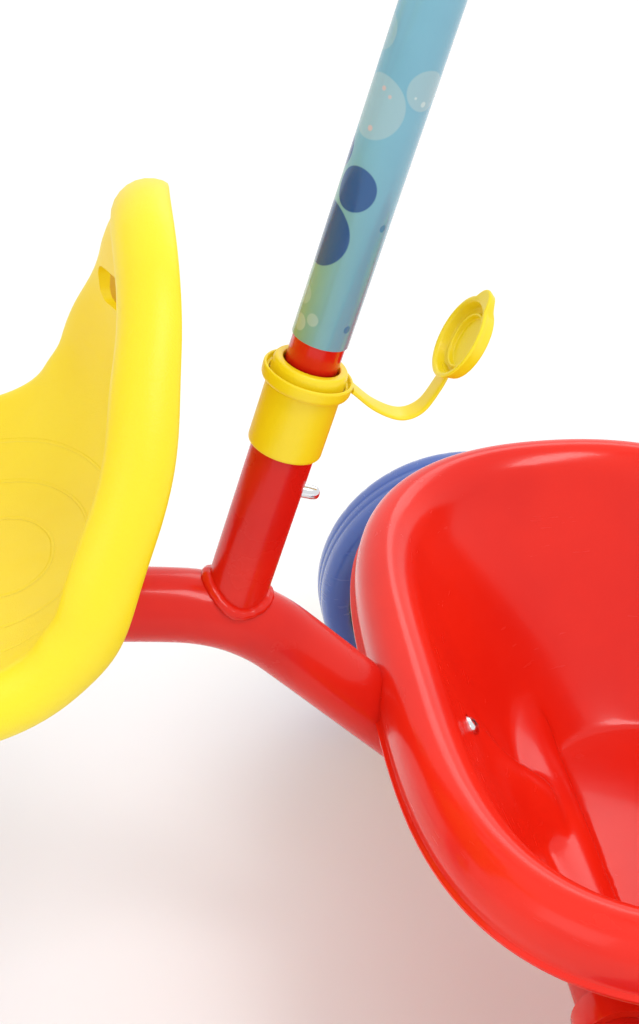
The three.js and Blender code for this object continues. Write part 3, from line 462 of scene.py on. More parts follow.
def sleeve_film():
    """A glossy printed film: pale blue with see-through bubbles and plain dots, and a painted green reflection
    of the yellow seat low down on its forward side.
    """
    s = Shader("printed_film", (0.15, 0.38, 0.5), 0.22, Coat_Weight=0.3, Coat_Roughness=0.05)
    turnback = s.node("ShaderNodeMapping", Vector=s.place)
    turnback.vector_type = "TEXTURE"
    turnback.inputs["Location"].default_value = tuple(bar_foot)
    turnback.inputs["Rotation"].default_value = (0, -barLean, 0)
    xyz = s.node("ShaderNodeSeparateXYZ", Vector=turnback.outputs[0])
    radius = 12.2
    # Arc is millimetres round the bar from its left side, forwards positive; rise is millimetres up the bar.
    arc = s.math("MULTIPLY", s.math("ARCTAN2", xyz.outputs[0], xyz.outputs[1]), radius)
    rise = s.math("MULTIPLY", xyz.outputs[2], 1000)
    spot = s.node("ShaderNodeCombineXYZ", X=arc, Y=rise).outputs[0]
    wander = s.ranged(s.noise(18, 3), 0.3, 0.7, 0, 1, True)
    color = s.mix(wander, (0.13, 0.345, 0.455), (0.165, 0.4, 0.51))
    # Painted reflection: green where the film, low down, faces the yellow seat, strongest on the forward side.
    low = s.ranged(rise, 150, 250, 1, 0, True)
    color = s.mix(s.math("MULTIPLY", low, s.ranged(arc, -6, 20, 0.05, 0.75, True)), color, (0.27, 0.46, 0.26))

    edge = 0.35
    for place, r, tint, amount in DISCS:
        away = s.tree.nodes.new("ShaderNodeVectorMath")
        away.operation = "DISTANCE"
        s.feed(away.inputs[0], spot)
        away.inputs[1].default_value = (*place, 0)
        mask = s.ranged(away.outputs["Value"], r - edge, r + edge, amount, 0, True)
        color = s.mix(mask, color, tint)
    s.paint(color)
    s.rough(s.ranged(s.noise(40, 6), 0.3, 0.75, 0.17, 0.27))
    s.bump(s.noise(160, 2), 0.00004, 0.5)
    return s


PALE, MIST, PINK = (0.5, 0.62, 0.6), (0.31, 0.47, 0.5), (0.6, 0.42, 0.38)
DEEP, MID = (0.006, 0.075, 0.24), (0.03, 0.2, 0.38)
draw = random.Random(11)
DISCS = []
for rise in range(168, 560, 26):
    for side in range(3):
        place = (draw.uniform(-36, 36), rise + draw.uniform(-9, 9))
        kind = draw.random()
        if abs(place[0]) < 15 and rise < 400:
            continue
        if kind < 0.55:
            DISCS.append((place, draw.uniform(4, 9), MIST, 0.6))
            DISCS.append(((place[0] - 2, place[1] + 1.5), 0.8, PALE, 0.8))
        elif kind < 0.75:
            DISCS.append((place, draw.uniform(6, 10), DEEP, 1.0))
        else:
            DISCS.append((place, 1.3, MID, 1.0))

DISCS += [
    ((20, 268), 7, MIST, 0.55), ((12, 241.5), 12.5, MIST, 0.75),
    ((10.6, 249.2), 0.9, PINK, 0.8), ((7.1, 247.1), 0.7, PINK, 0.7), ((11, 233.2), 1.1, PINK, 0.8),
    ((-6.2, 252.7), 8, MIST, 0.75), ((-6.8, 247.6), 1.1, PALE, 0.8), ((-2.5, 249.5), 0.5, PALE, 0.8),
    ((9, 209), 9, DEEP, 1.0), ((17.5, 187), 13.3, DEEP, 1.0),
    ((-8, 196.5), 1.6, MID, 0.9), ((-7.3, 151.7), 1.7, MID, 0.9),
    ((14.8, 148.4), 3.6, PALE, 0.55), ((8.7, 152.2), 2.7, PALE, 0.45), ((17, 160), 4, PALE, 0.35),
]
sleeve_print = sleeve_film()
yellow_seat = seat_plastic()

# Each look pairs a material with a colour slot's name.
RP = (red_paint.material, "frame_paint")
RM = (red_plastic.material, "red_plastic")
YM = (yellow_plastic.material, "yellow_plastic")
YS = (yellow_seat.material, "yellow_plastic")
BM = (blue_plastic.material, "blue_plastic")
ST = (steel.material, "bright_steel")
DM = (dark_plastic.material, "dark_plastic")
PF = (sleeve_print.material, "printed_sleeve")
SIDES = ((1, "left"), (-1, "right"))


def make(node, mesh, look, body, side=None, **more):
    """A piece named for the node that it replaces."""
    tail = "_" + side if side else ""
    piece(node + "_skin" + tail, mesh, look[0], body, look[1], node + tail, **more)


def ring_skin(profile, reach, steps, centre, axis, n):
    """A turned ring from a closed profile with rounded corners."""
    line = soften(profile, reach, steps, closed=True)
    return lathe(line + [line[0]], centre, axis, n)


def plug(radius, low, high, centre, axis, n):
    """A plain round cutter between two heights on an axis."""
    return lathe([[0, low], [radius, low], [radius, high], [0, high]], centre, axis, n)


def cross_cutters(foot, a, b, axis, length, low, high):
    """Two crossed bars that cut the slots of a screw head."""
    cutters = []
    for first, second in ((a, b), (b, a)):
        ring = [first * i * length + second * j * 0.55 for i, j in ((1, 1), (-1, 1), (-1, -1), (1, -1))]
        ends = [[foot + (r + axis * h) / 1000 for r in ring] for h in (low, high)]
        cutters.append(loft(ends, True, foot + axis * low / 1000, foot + axis * high / 1000))
    return cutters


# ------------------------------------------------------------ frame
head_tube_at = 120 + 20 + 10 + 12
head_tube_end = head_tube_at + 92
main_path = bent([on_steering(head_tube_at + 28), at(168, 10), at(62, 10), at(0, 2), rear_axle], 30, 14)
make("main_tube", tube(main_path, 17, 56), RP, "frame")


def near_path(path, p):
    """How far a point is from a line, in millimetres."""
    a = np.array(path[:-1])
    d = np.array(path[1:]) - a
    t = np.clip(((p - a) * d).sum(1) / np.maximum((d * d).sum(1), 1e-12), 0, 1)
    return norm(a + d * t[:, None] - p, axis=1).min() * 1000


def weld_bead(foot, axis, radius, path, path_radius, size, low=0, high=60, n=180):
    """A rippled bead where a tube lands on another: sections round the saddle line."""
    e1, e2, e3 = basis(axis)
    saddle = []
    for i in range(n):
        angle = tau * i / n
        out = e1 * cos(angle) + e2 * sin(angle)
        a, b = low, high
        for _ in range(26):
            middle = (a + b) / 2
            p = foot + (out * radius + e3 * middle) / 1000
            a, b = (middle, b) if near_path(path, p) < path_radius else (a, middle)
        saddle.append((out, a))
    rings = []
    sides = 20
    for i, (out, s) in enumerate(saddle):
        ripple = 1 + 0.022 * sin(i / n * 2 * pi * 22) + 0.06 * sin(i / n * 2 * pi * 5 + 1)
        grow = size * ripple
        centre = foot + (out * radius + e3 * (s + 0.2)) / 1000
        ring = []
        for k in range(sides):
            t = tau * k / sides
            ring.append(centre + (out * cos(t) * grow + e3 * sin(t) * grow * 0.85) / 1000)
        rings.append(ring)
    rings.append(rings[0])
    return loft(rings)


bead = weld_bead(bar_foot, bar_axis, 14, main_path, 17, 3.4)
socket_line = [[14, 2], [14, 117.2], [13.2, 118], [12, 118], [11.9, 116], [11.9, 2], [14, 2]]
socket = lathe(socket_line, bar_foot, bar_axis, 64)
make("push_bar_socket", join(socket, bead), RP, "frame")

head_profile = soften([
    [16, head_tube_at], [19.6, head_tube_at], [19.6, head_tube_at + 9], [19, head_tube_at + 10.5],
    [19, head_tube_end - 10.5], [19.6, head_tube_end - 9], [19.6, head_tube_end], [16, head_tube_end],
], 0.8)
head = lathe(head_profile + [head_profile[0]], steer_base, head_axis, 72)
head_bead = weld_bead(on_steering(head_tube_at + 28), unit(main_path[1] - main_path[0]), 17,
                      [on_steering(0), on_steering(400)], 19, 3)
make("head_tube", join(head, head_bead), RP, "frame")

axle_half = 198
axle = lathe([[15, -axle_half + 0.8], [14.2, -axle_half], [13, -axle_half], [13, axle_half], [14.2, axle_half],
              [15, axle_half - 0.8], [15, -axle_half + 0.8]], rear_axle, Y, 64)
tail = unit(main_path[-2] - main_path[-1])
axle_bead = weld_bead(rear_axle, tail, 17, [rear_axle - Y * 0.3, rear_axle + Y * 0.3], 15, 3)
make("rear_axle_tube", join(axle, axle_bead), RP, "frame")

for side, name in SIDES:
    mouth = rear_axle + Y * side * axle_half / 1000
    bush = soften([[5.3, -20], [12.7, -20], [12.7, 0.3], [15, 0.3], [15, 4], [5.3, 4]], 0.5, 3)
    bush = lathe(bush + [bush[0]], mouth, Y * side, 48)
    make("axle_bush", bush, DM, "frame", name)
rod_half = 260
rod = soften([[0, -rod_half], [5, -rod_half], [5, rod_half], [0, rod_half]], 1, 3)
make("rear_axle_rod", lathe(rod, rear_axle, Y, 40), ST, "frame")

# ------------------------------------------------------------ seat
SEAT_LINE = [
    (34, 185), (27, 162), (26, 138), (31, 102), (45, 65), (70, 44), (104, 38), (146, 39), (180, 44), (199, 50),
]


def centripetal(points, per=60):
    """The same kind of smooth line as the frame's own seat profile."""
    p = np.array(points, float)
    p = np.vstack([2 * p[0] - p[1], p, 2 * p[-1] - p[-2]])
    out = []
    for i in range(1, len(p) - 2):
        q = p[i - 1:i + 3]
        t = np.concatenate([[0], np.cumsum(norm(np.diff(q, axis=0), axis=1) ** 0.5)])
        for k in range(per):
            s = t[1] + (t[2] - t[1]) * k / per
            a = [(q[j] * (t[j + 1] - s) + q[j + 1] * (s - t[j])) / (t[j + 1] - t[j]) for j in range(3)]
            b = [(a[j] * (t[j + 2] - s) + a[j + 1] * (s - t[j])) / (t[j + 2] - t[j]) for j in range(2)]
            out.append((b[0] * (t[2] - s) + b[1] * (s - t[1])) / (t[2] - t[1]))
    out.append(p[-2])
    return np.array(out)


seat_line = centripetal(SEAT_LINE)
seat_steps = np.concatenate([[0], np.cumsum(norm(np.diff(seat_line, axis=0), axis=1))])
SEAT_LENGTH = seat_steps[-1]
seat_slope = np.gradient(seat_line, seat_steps, axis=0)
window = np.hanning(41)
window /= window.sum()
seat_slope = np.stack([np.convolve(np.pad(seat_slope[:, k], 20, "edge"), window, "valid") for k in range(2)], 1)
seat_slope /= norm(seat_slope, axis=1)[:, None]
SEAT_HALF, SHOULDER, FRONT_CORNER = 107.0, 112.0, 72.0


def seat_half(place):
    top = np.minimum(1, place / SHOULDER)
    back = np.sqrt(np.maximum(0, 1 - (1 - top) ** 1.4))
    front = np.clip((place - (SEAT_LENGTH - FRONT_CORNER)) / FRONT_CORNER, 0, 1)
    return SEAT_HALF * back * np.maximum(0, 1 - front ** 2.6) ** 0.5


def seat_lift(place):
    """Height of the rim above the middle profile, by place along it."""
    knots = np.array([(0, 9), (40, 24), (105, 36), (145, 33), (200, 17), (290, 8)], float)
    i = int(np.clip(np.searchsorted(knots[:, 0], place) - 1, 0, len(knots) - 2))
    t = np.clip((place - knots[i, 0]) / (knots[i + 1, 0] - knots[i, 0]), 0, 1)
    t = t * t * (3 - 2 * t)
    return knots[i, 1] * (1 - t) + knots[i + 1, 1] * t


def seat_frame(place):
    place = float(np.clip(place, 0, SEAT_LENGTH))
    p = [np.interp(place, seat_steps, seat_line[:, k]) for k in range(2)]
    t = unit(np.array([np.interp(place, seat_steps, seat_slope[:, k]) for k in range(2)]))
    return np.array(p), np.array([-t[1], t[0]]), t


def seat_point(place, y, lift, out=(0.0, 0.0)):
    p, normal, t = seat_frame(place)
    p = p + normal * lift + t * out[0]
    return at(p[0], p[1], y + out[1])


RIM_COUNT = 208
fine_place = SEAT_LENGTH * 0.5 * (1 - np.cos(np.linspace(0, pi, 801)))
fine = np.stack([fine_place, seat_half(fine_place)], 1)
outline = np.vstack([fine, fine[1:-1][::-1] * [1, -1]])
gaps = norm(np.roll(outline, -1, 0) - outline, axis=1)
run = np.concatenate([[0], np.cumsum(gaps)])
spots = np.linspace(0, run[-1], RIM_COUNT, endpoint=False)
loop = np.vstack([outline, outline[:1]])
rim = np.stack([np.interp(spots, run, loop[:, k]) for k in range(2)], 1)
along = np.roll(rim, -2, 0) - np.roll(rim, 2, 0)
along /= norm(along, axis=1)[:, None]
rim_out = np.stack([-along[:, 1], along[:, 0]], 1)
SEAT_CENTRE = SEAT_LENGTH * 0.62
WALL, ROLL_R, ROLL_STAND = 4.0, 16.0, 3.0
lifts = np.array([seat_lift(p) for p in rim[:, 0]])
window = np.hanning(15)
window /= window.sum()
lifts = np.convolve(np.concatenate([lifts[-7:], lifts, lifts[:7]]), window, "valid")


def bowl_ring(share, depth):
    ring = []
    for (place, y), lift in zip(rim, lifts):
        here = SEAT_CENTRE + (place - SEAT_CENTRE) * share
        ring.append(seat_point(here, y * share, lift * share ** 2.4 - depth))
    return ring


def roll_ring(degrees, radius):
    turned = radians(degrees)
    out, up = radius * sin(turned), radius * cos(turned) - ROLL_R + ROLL_STAND
    spots = zip(rim, rim_out, lifts)
    return [seat_point(p, y, lift + up, direction * out) for (p, y), direction, lift in spots]


shares = np.linspace(0, 1, 34)[1:]
seat_rings = [bowl_ring(s, 0) for s in shares]
seat_rings += [roll_ring(d, ROLL_R) for d in (10, 20, 32, 45, 60, 75, 90, 105, 120, 135, 145, 150)]
seat_rings += [roll_ring(d, ROLL_R - WALL) for d in (148, 135, 115, 95, 75, 55, 38)]
seat_rings += [bowl_ring(s, WALL) for s in shares[::-1]]
seat_mesh = loft(seat_rings, True, seat_point(SEAT_CENTRE, 0, 0), seat_point(SEAT_CENTRE, 0, -WALL))
seat_mesh = smoothed(seat_mesh, 0.5, 6)


def slot_cutter(x, y, z, width, height, depth, corner=6):
    """A rounded bar along X, which cuts a belt slot."""
    wide, tall = width / 2 - corner, height / 2 - corner
    ring = [(cy * wide + corner * c, cz * tall + corner * s) for cy, cz, c, s in rounding(10)]
    ends = [[at(x + d, z + b, y + a) for a, b in ring] for d in (-depth, depth)]
    return loft(ends, True, at(x - depth, z, y), at(x + depth, z, y))


cuts = [slot_cutter(20, side * 70, 128, 30, 18, 40) for side in (1, -1)]
cuts.append(tube(bent([on_steering(head_tube_at + 28), at(168, 10), at(62, 10), at(0, 2)], 30, 8), 19, 40))
for side in (1, -1):
    cuts.append(plug(3.5, 0, 200, at(126, -JUNCTION_Z, side * 31) + Z * 0.15, Z, 24))
make("seat_shell", seat_mesh, YS, "frame", cut=cuts, angle=50)

# ------------------------------------------------------------ storage tub
RIM_Z, TUB_X, TUB_L, TUB_W = -33.0, -193.0, 130.0, 201.0
FLOOR_X, FLOOR_L, FLOOR_W, FLOOR_Z = -222.0, 58.0, 84.0, -165.0
RIM_WIDTH, RIM_DROP, SKIRT = 35.0, 20.0, 26.0


def tub_outline(angle, cx, length, width, inset=0.0):
    def spot(t):
        c, s = cos(t), sin(t)
        return np.array([cx + length * power(c, 2 / 2.2), width * power(s, 2 / 3.4)])

    along = unit(spot(angle + 0.01) - spot(angle - 0.01))
    return spot(angle) + np.array([-along[1], along[0]]) * inset


def soft_max(a, b, k):
    h = max(k - abs(a - b), 0) / k
    return max(a, b) + h * h * k / 4


main_slope = (rearAxleZ - 2) / rearAxleX


def tunnel_top(x, y, grow):
    """Height of the tunnels over the main tube and the axle tube."""
    reach = 18.2 + grow
    axis = 2 + x * main_slope
    side = min(1.0, abs(y) / (reach + 9))
    centre = axis + (reach * 1.44) * (1 - side ** 2.6) - 70 * max(0.0, side - 0.72) * 3.5
    if x < rearAxleX:
        centre -= (rearAxleX - x) * 1.2
    reach = 16.2 + grow
    side = min(1.0, abs(x - rearAxleX) / (reach + 5))
    cross = rearAxleZ + reach * (1 - side ** 2.8) - 40 * max(0.0, side - 0.8) * 5
    cross -= max(0.0, abs(y) - 102) * 4.5
    return soft_max(centre, cross, 7)


TUB_ANGLES = [2 * pi * (i + 0.5) / 264 for i in range(264)]
tub_shares = np.concatenate([np.linspace(0, 0.9, 26), np.linspace(0.92, 1, 5)])


def tub_bowl(offset):
    rings = []
    top = RIM_Z - RIM_DROP
    inner = [tub_outline(a, TUB_X, TUB_L, TUB_W, RIM_WIDTH - offset) for a in TUB_ANGLES]
    floor = [tub_outline(a, FLOOR_X, FLOOR_L, FLOOR_W, -offset) for a in TUB_ANGLES]
    for share in tub_shares:
        sink = sin(share * pi / 2) * 0.35 + share * 0.65
        depth = top + (FLOOR_Z - offset - top) * sink
        rings.append([(i + (f - i) * share, depth) for i, f in zip(inner, floor)])
    for near in np.linspace(1, 0, 30)[1:]:
        rings.append([(np.array([FLOOR_X, 0]) + (f - [FLOOR_X, 0]) * near, FLOOR_Z - offset) for f in floor])
    lifted = []
    for ring in rings[:-1]:
        lifted.append([at(p[0], soft_max(z, tunnel_top(p[0], p[1], 4 - offset), 4), p[1]) for p, z in ring])
    return lifted, at(FLOOR_X, soft_max(FLOOR_Z - offset, tunnel_top(FLOOR_X, 0, 4 - offset), 7))


def rim_ring(inset, z):
    spots = [tub_outline(a, TUB_X, TUB_L, TUB_W, inset) for a in TUB_ANGLES]
    return [at(p[0], RIM_Z + z, p[1]) for p in spots]


rim_over = spline([
    (0.2, -SKIRT + 1.6), (0.4, -18), (2.2, -10), (7, -3.6), (14, -0.4), (21, -1), (28, -6.5), (32.5, -13.5),
], 5)
rim_lip = [(-2, -2), (-2.3, -1.2), (-2.2, -0.2), (-1.2, 0.4), (-0.1, 0.8)]
rim_lip = [(inset, -SKIRT + z) for inset, z in rim_lip]
rim_under = [
    (1.6, -SKIRT - 2), (2.2, -SKIRT), (4.2, -16), (8, -8.5), (14, -4.8), (20, -5.2), (25, -9), (29, -15),
]
inside, inside_end = tub_bowl(0.0)
outside, outside_end = tub_bowl(4.0)
rim_line = rim_under[::-1] + rim_lip + list(rim_over)
tub_rings = outside[::-1] + [rim_ring(*p) for p in rim_line] + inside
tub_mesh = loft(tub_rings, True, outside_end, inside_end)
tub_hold = np.zeros(len(tub_mesh[0]))
first = len(outside) * len(TUB_ANGLES)
tub_hold[first:first + (len(rim_under) + len(rim_lip) + 6) * len(TUB_ANGLES)] = 0.92
tub_mesh = smoothed(tub_mesh, 0.5, 3, tub_hold)
square = unit(np.array([-main_slope, 0, 1]))
screw_x = -110 - square[0] * 21
screw_foot = at(screw_x, 2 + screw_x * main_slope)
screw_hole = plug(2.7, 0, 60, screw_foot, square, 32)
screw_seat = plug(6.2, 22.2, 36, screw_foot, square, 48)
make("storage_tub", tub_mesh, RM, "frame", cut=[screw_hole, screw_seat], angle=42)
head = soften([[0, 18.6], [2.2, 18.6], [2.2, 22.5], [5.6, 22.5], [5.3, 24], [3.4, 25.5], [0, 25.9]], 0.7, 4)
e1, e2, _ = basis(square)
cross_slots = cross_cutters(screw_foot, e1, e2, square, 2.6, 24.3, 30)
make("tub_screw", lathe(head, screw_foot, square, 48), ST, "frame", cut=cross_slots)

# A clip is a band from its inner arc round the axle tube to its outer arc, cut off flat below.
clip_inner = [(15.3 * cos(radians(t)), 15.3 * sin(radians(t))) for t in range(-38, 219, 6)]
clip_outer = [(19.3 * cos(radians(t)), 19.3 * sin(radians(t))) for t in range(218, -39, -8)]
clip_ring = clip_inner + [(x, max(z, -12.0)) for x, z in clip_outer]
CLIP_HALF = 8
n, half = len(clip_ring), len(clip_inner)
clip_caps = []
for base, flip in ((0, False), (3 * n, True)):
    for i in range(half - 1):
        j = n - 1 - round(i * (n - half - 1) / (half - 1))
        k = n - 1 - round((i + 1) * (n - half - 1) / (half - 1))
        face = (base + i, base + i + 1, base + k, base + j) if j != k else (base + i, base + i + 1, base + j)
        clip_caps.append(face[::-1] if flip else face)
for side, name in SIDES:
    layers = []
    for y, grow in ((-CLIP_HALF, -0.5), (-CLIP_HALF + 0.6, 0), (CLIP_HALF - 0.6, 0), (CLIP_HALF, -0.5)):
        size = 1 + grow / 40
        layers.append([at(rearAxleX + x * size, rearAxleZ + z * size, side * 122 + y) for x, z in clip_ring])
    verts, faces = loft(layers)
    make("axle_clip", (verts, faces + clip_caps), RM, "frame", name)

# ------------------------------------------------------------ collar, cap and button
collar = ring_skin([
    [14.3, 89], [15.9, 89], [16.3, 90], [16.3, 127.5], [15.8, 129.4], [15, 130], [12.6, 130], [12.2, 129],
    [12.2, 118.3], [14.3, 118.3],
], 0.5, 3, bar_foot, bar_axis, 96)
make("socket_collar", collar, YM, "frame")
flange = ring_skin([
    [16.6, 119.8], [18.6, 119.5], [19.4, 121], [19.6, 125.2], [19, 126], [18.2, 125.6], [17.8, 123.6],
    [16.6, 123.4],
], 0.6, 3, bar_foot, bar_axis, 96)
make("cap_ring", flange, YM, "frame")

strap_start = on_bar(122.5) - bar_front * 0.0196
STRAP_ROUTE = ((-60, 102), (-71, 97), (-80, 100), (-87, 110), (-90.6, 117.5))
strap_path = spline([strap_start] + [at(*p) for p in STRAP_ROUTE], 10)


def ribbon(angle, r):
    """The strap's flat section with rounded edges."""
    c, s = cos(angle), sin(angle)
    return 1.05 * power(c, 0.7), 5.5 * power(s, 0.55)


make("cap_strap", tube(strap_path, 5.5, 32, section=ribbon), YM, "collar_cap")
cap_lean = radians(-58)
cap_face, cap_away = up_axis(cap_lean), -front_axis(cap_lean)
cap_centre = at(-98, 130)
dish = [
    [0, -4], [12, -4], [16.6, -2.6], [17.8, 1.2], [18.8, 3.2], [18.6, 4], [17.2, 4.2], [16.2, 3.2],
    [15.6, -0.6], [13.6, -1.8], [12.8, -1.8], [12.5, 0.6], [11.2, 0.6], [10.9, -1.9], [0, -2],
]
dish = soften(dish, 0.7, 3)


def nub(r, h, angle):
    """The thumb tab, a rounded swelling of the rim on one side."""
    e1, e2, _ = basis(cap_face)
    direction = e1 * cos(angle) + e2 * sin(angle)
    t = float(np.dot(direction, cap_away))
    push = 4.6 * max(0, min(1, (t - 0.9) / 0.1)) ** 1.2
    rim_share = max(0, min(1, (r - 16.4) / 1.2)) if h > 0.5 else 0
    return r + push * rim_share, h


make("socket_cap", lathe(dish, cap_centre, cap_face, 144, nub), YM, "collar_cap")

button = soften([[0, 11.9], [3.2, 11.9], [3.2, 18.2], [2.9, 20.6], [1.8, 21.8], [0, 22.1]], 1.0, 4)
make("spring_button", lathe(button, on_bar(69), -bar_front, 48), ST, "spring_button")

# ------------------------------------------------------------ push bar
bar_end = 26 + 700
bar = [[11.4, 26.8], [10.8, 26], [10, 26], [10, bar_end], [11.4, bar_end], [11.4, 26.8]]
button_hole = plug(3.9, 0, 30, on_bar(69), -bar_front, 32)
make("push_bar", lathe(bar, bar_foot, bar_axis, 64), RP, "push_bar", cut=[button_hole])
wrap = [[11.7, 141.5], [12.2, 141.5], [12.2, 571.5], [11.7, 571.5]]
wrap = ring_skin(wrap, 0.15, 2, bar_foot, bar_axis, 128)
make("push_bar_sleeve", wrap, PF, "push_bar")
top = on_bar(bar_end + 6)
tee_upright = soften([[0, -44], [15.9, -44], [15.9, -40], [15.4, -38], [15.4, 10], [13.5, 15], [0, 16]], 1.5, 4)
tee_cross = [[0, -30], [13.9, -30], [13.9, -27], [13.2, -25], [13.2, 25], [13.9, 27], [13.9, 30], [0, 30]]
tee_cross = soften(tee_cross, 1.2, 4)
tee_cuts = [plug(11.7, -80, -5.7, top, bar_axis, 48), plug(10.2, -60, 60, top, Y, 48)]
make("handle_tee", lathe(tee_upright, top, bar_axis, 72), RM, "push_bar",
     add=[lathe(tee_cross, top, Y, 72)], cut=tee_cuts)
cross = [[9.9, -150], [9.9, 150], [8.4, 150], [8.4, -150], [9.9, -150]]
make("handle_bar", lathe(cross, top, Y, 56), RP, "push_bar",
     cut=[plug(12.4, -80, -5.7, top, bar_axis, 40)])


def ribbed(count, depth, low, high):
    """Shallow flutes round a grip between two heights."""
    def wave(r, h, angle):
        if low < h < high and r > 13:
            fade = min(1, (h - low) / 5, (high - h) / 5)
            flute = max(0, cos(angle * count)) ** 2
            return r - depth * fade * flute, h
        return r, h
    return wave


def grip(node, centre, axis, tube_r, r, start, length, look, body, side, flange):
    """A moulded grip with a flange at its inner end, finger waves along it and a domed end."""
    end = start + length
    line = [[tube_r, start], [r + flange, start], [r + flange, start + 4], [r + 1, start + 6]]
    steps = 44
    for k in range(steps + 1):
        h = start + 9 + (length - 22) * k / steps
        line.append([r - 0.8 + 0.9 * cos(k / steps * 2 * pi * 4.5), h])
    line += [[r + 1.2, end - 8], [r + 1.4, end - 2], [r - 1, end + 2.6], [r * 0.5, end + 4], [0, end + 4.2]]
    line = [line[0]] + soften(line[1:4], 1.2, 3) + line[4:-5] + soften(line[-5:], 1.4, 3)
    mesh = lathe(line, centre, axis, 96, ribbed(16, 0.7, start + 12, end - 12))
    bore = lathe([[0, end + 0.3], [tube_r, end + 0.3], [tube_r, start]], centre, axis, 96)
    make(node, join(mesh, bore), look, body, side, weld=2e-6)


for side, name in SIDES:
    grip("handle_grip", top, Y * side, 10.2, 16.0, 45, 105, BM, "push_bar", name, 6)
screw = soften([[0, 16.2], [4, 16.2], [3.8, 17.4], [2.2, 18.4], [0, 18.6]], 0.5, 3)
make("handle_screw", lathe(screw, on_bar(bar_end - 20), -bar_front, 32), ST, "push_bar")

# ------------------------------------------------------------ steering
crown = on_steering(140)
shoulder = on_steering(136) + head_front * 0.004
leg = Y * 0.042
fork_path = [front_axle + leg, shoulder + leg, crown + head_axis * 0.002, shoulder - leg, front_axle - leg]
fork_path = bent(fork_path, 18, 12)
fork = tube(fork_path, 10, 48)
eye = soften([[0, 39], [13.6, 39], [13.6, 45], [0, 45]], 0.8, 3)
dropouts = [lathe(eye, front_axle, Y * side, 56) for side in (1, -1)]
steerer_top = head_tube_end + 16 + 46
fork_cuts = [plug(8.3, -80, 80, front_axle, Y, 40), plug(12.8, 146, steerer_top, steer_base, head_axis, 40)]
make("fork", fork, RP, "steering", add=dropouts, cut=fork_cuts)
steerer = soften([[0, 146.3], [12.5, 146.3], [12.5, steerer_top], [0, steerer_top]], 1, 3)
make("steerer", lathe(steerer, steer_base, head_axis, 56), ST, "steering")
for name, start, way in (("lower", head_tube_at, -1), ("upper", head_tube_end, 1)):
    line = [[12.75, -14], [15.7, -14], [15.7, 0.3], [20, 0.3], [20, 4.6], [18.6, 6], [12.75, 6]]
    bush = ring_skin(line, 0.6, 3, on_steering(start), head_axis * way, 72)
    make("head_bush", bush, DM, "frame", name)
race_top = head_tube_at - 6.5
race = [[12.8, 151], [18.2, 151], [19, 153], [19, head_tube_at - 7.5], [18, race_top], [12.8, race_top]]
race = ring_skin(race, 0.6, 3, steer_base, head_axis, 64)
make("crown_race", race, ST, "steering", cut=[tube(fork_path, 10.3, 40)])

stem_at = steerer_top - 23
stem = on_steering(stem_at) + head_front * 0.002
clamp = stem + X * 0.024
HANDLE_HALF, GRIP_LENGTH, BEND = 0.185, 0.100, 0.034
grip_line = stem + np.array([-0.044, 0, 0.120])
bar_ends = {side: grip_line + np.array([-0.022, side * HANDLE_HALF, 0]) for side in (1, -1)}
bar_roots = {side: grip_line + Y * side * (HANDLE_HALF - GRIP_LENGTH - BEND) for side in (1, -1)}
handle_path = [bar_ends[1], bar_roots[1], clamp + Y * 0.034, clamp - Y * 0.034, bar_roots[-1], bar_ends[-1]]
handle_path = bent(handle_path, 30, 14)
make("handlebar", tube(handle_path, 11, 56, bore=9.5), RP, "steering")
bolt_top = stem_at + 31
stem_body = soften([
    [0, stem_at - 21], [17.6, stem_at - 21], [18.5, stem_at - 18], [18.5, stem_at + 26], [16, bolt_top],
    [0, bolt_top],
], 2, 4)
clamp_body = soften([[0, -24], [17, -24], [17, 24], [0, 24]], 2, 4)
neck = []
for reach, w, h in ((0, 17, 13), (26, 16, 13)):
    ring = []
    for t in np.linspace(0, 2 * pi, 48, endpoint=False):
        swell = Y * w * power(cos(t), 0.5) + head_axis * h * power(sin(t), 0.5)
        ring.append(stem + head_front * reach / 1000 + swell / 1000)
    neck.append(ring)
neck = loft(neck, True, stem, stem + head_front * 0.026)
stem_cuts = [plug(12.8, 0, steerer_top + 0.3, steer_base, head_axis, 48), tube(handle_path, 11.3, 40)]
make("stem", lathe(stem_body, steer_base, head_axis, 72), YM, "steering",
     add=[lathe(clamp_body, clamp, Y, 64), neck], cut=stem_cuts, angle=30)
bolt_foot = bolt_top + 0.3
hexed = [[0, bolt_foot], [7, bolt_foot], [7, bolt_top + 4.4], [5.6, bolt_top + 5.8], [0, bolt_top + 6]]
hexed = soften(hexed, 0.3, 2)
make("stem_bolt", lathe(hexed, steer_base, head_axis, 6), ST, "steering", angle=25)
for side, name in SIDES:
    axis = unit(bar_ends[side] - bar_roots[side])
    span = norm(bar_ends[side] - bar_roots[side]) * 1000
    grip("grip", bar_roots[side], axis, 11.3, 15.2, span - 100, 100, YM, "steering", name, 7)
    bush = [[5.75, -9], [8, -9], [8, 5], [5.75, 5]]
    bush = ring_skin(bush, 0.4, 2, front_axle + leg * side, Y * side, 40)
    make("fork_bush", bush, DM, "steering", name)


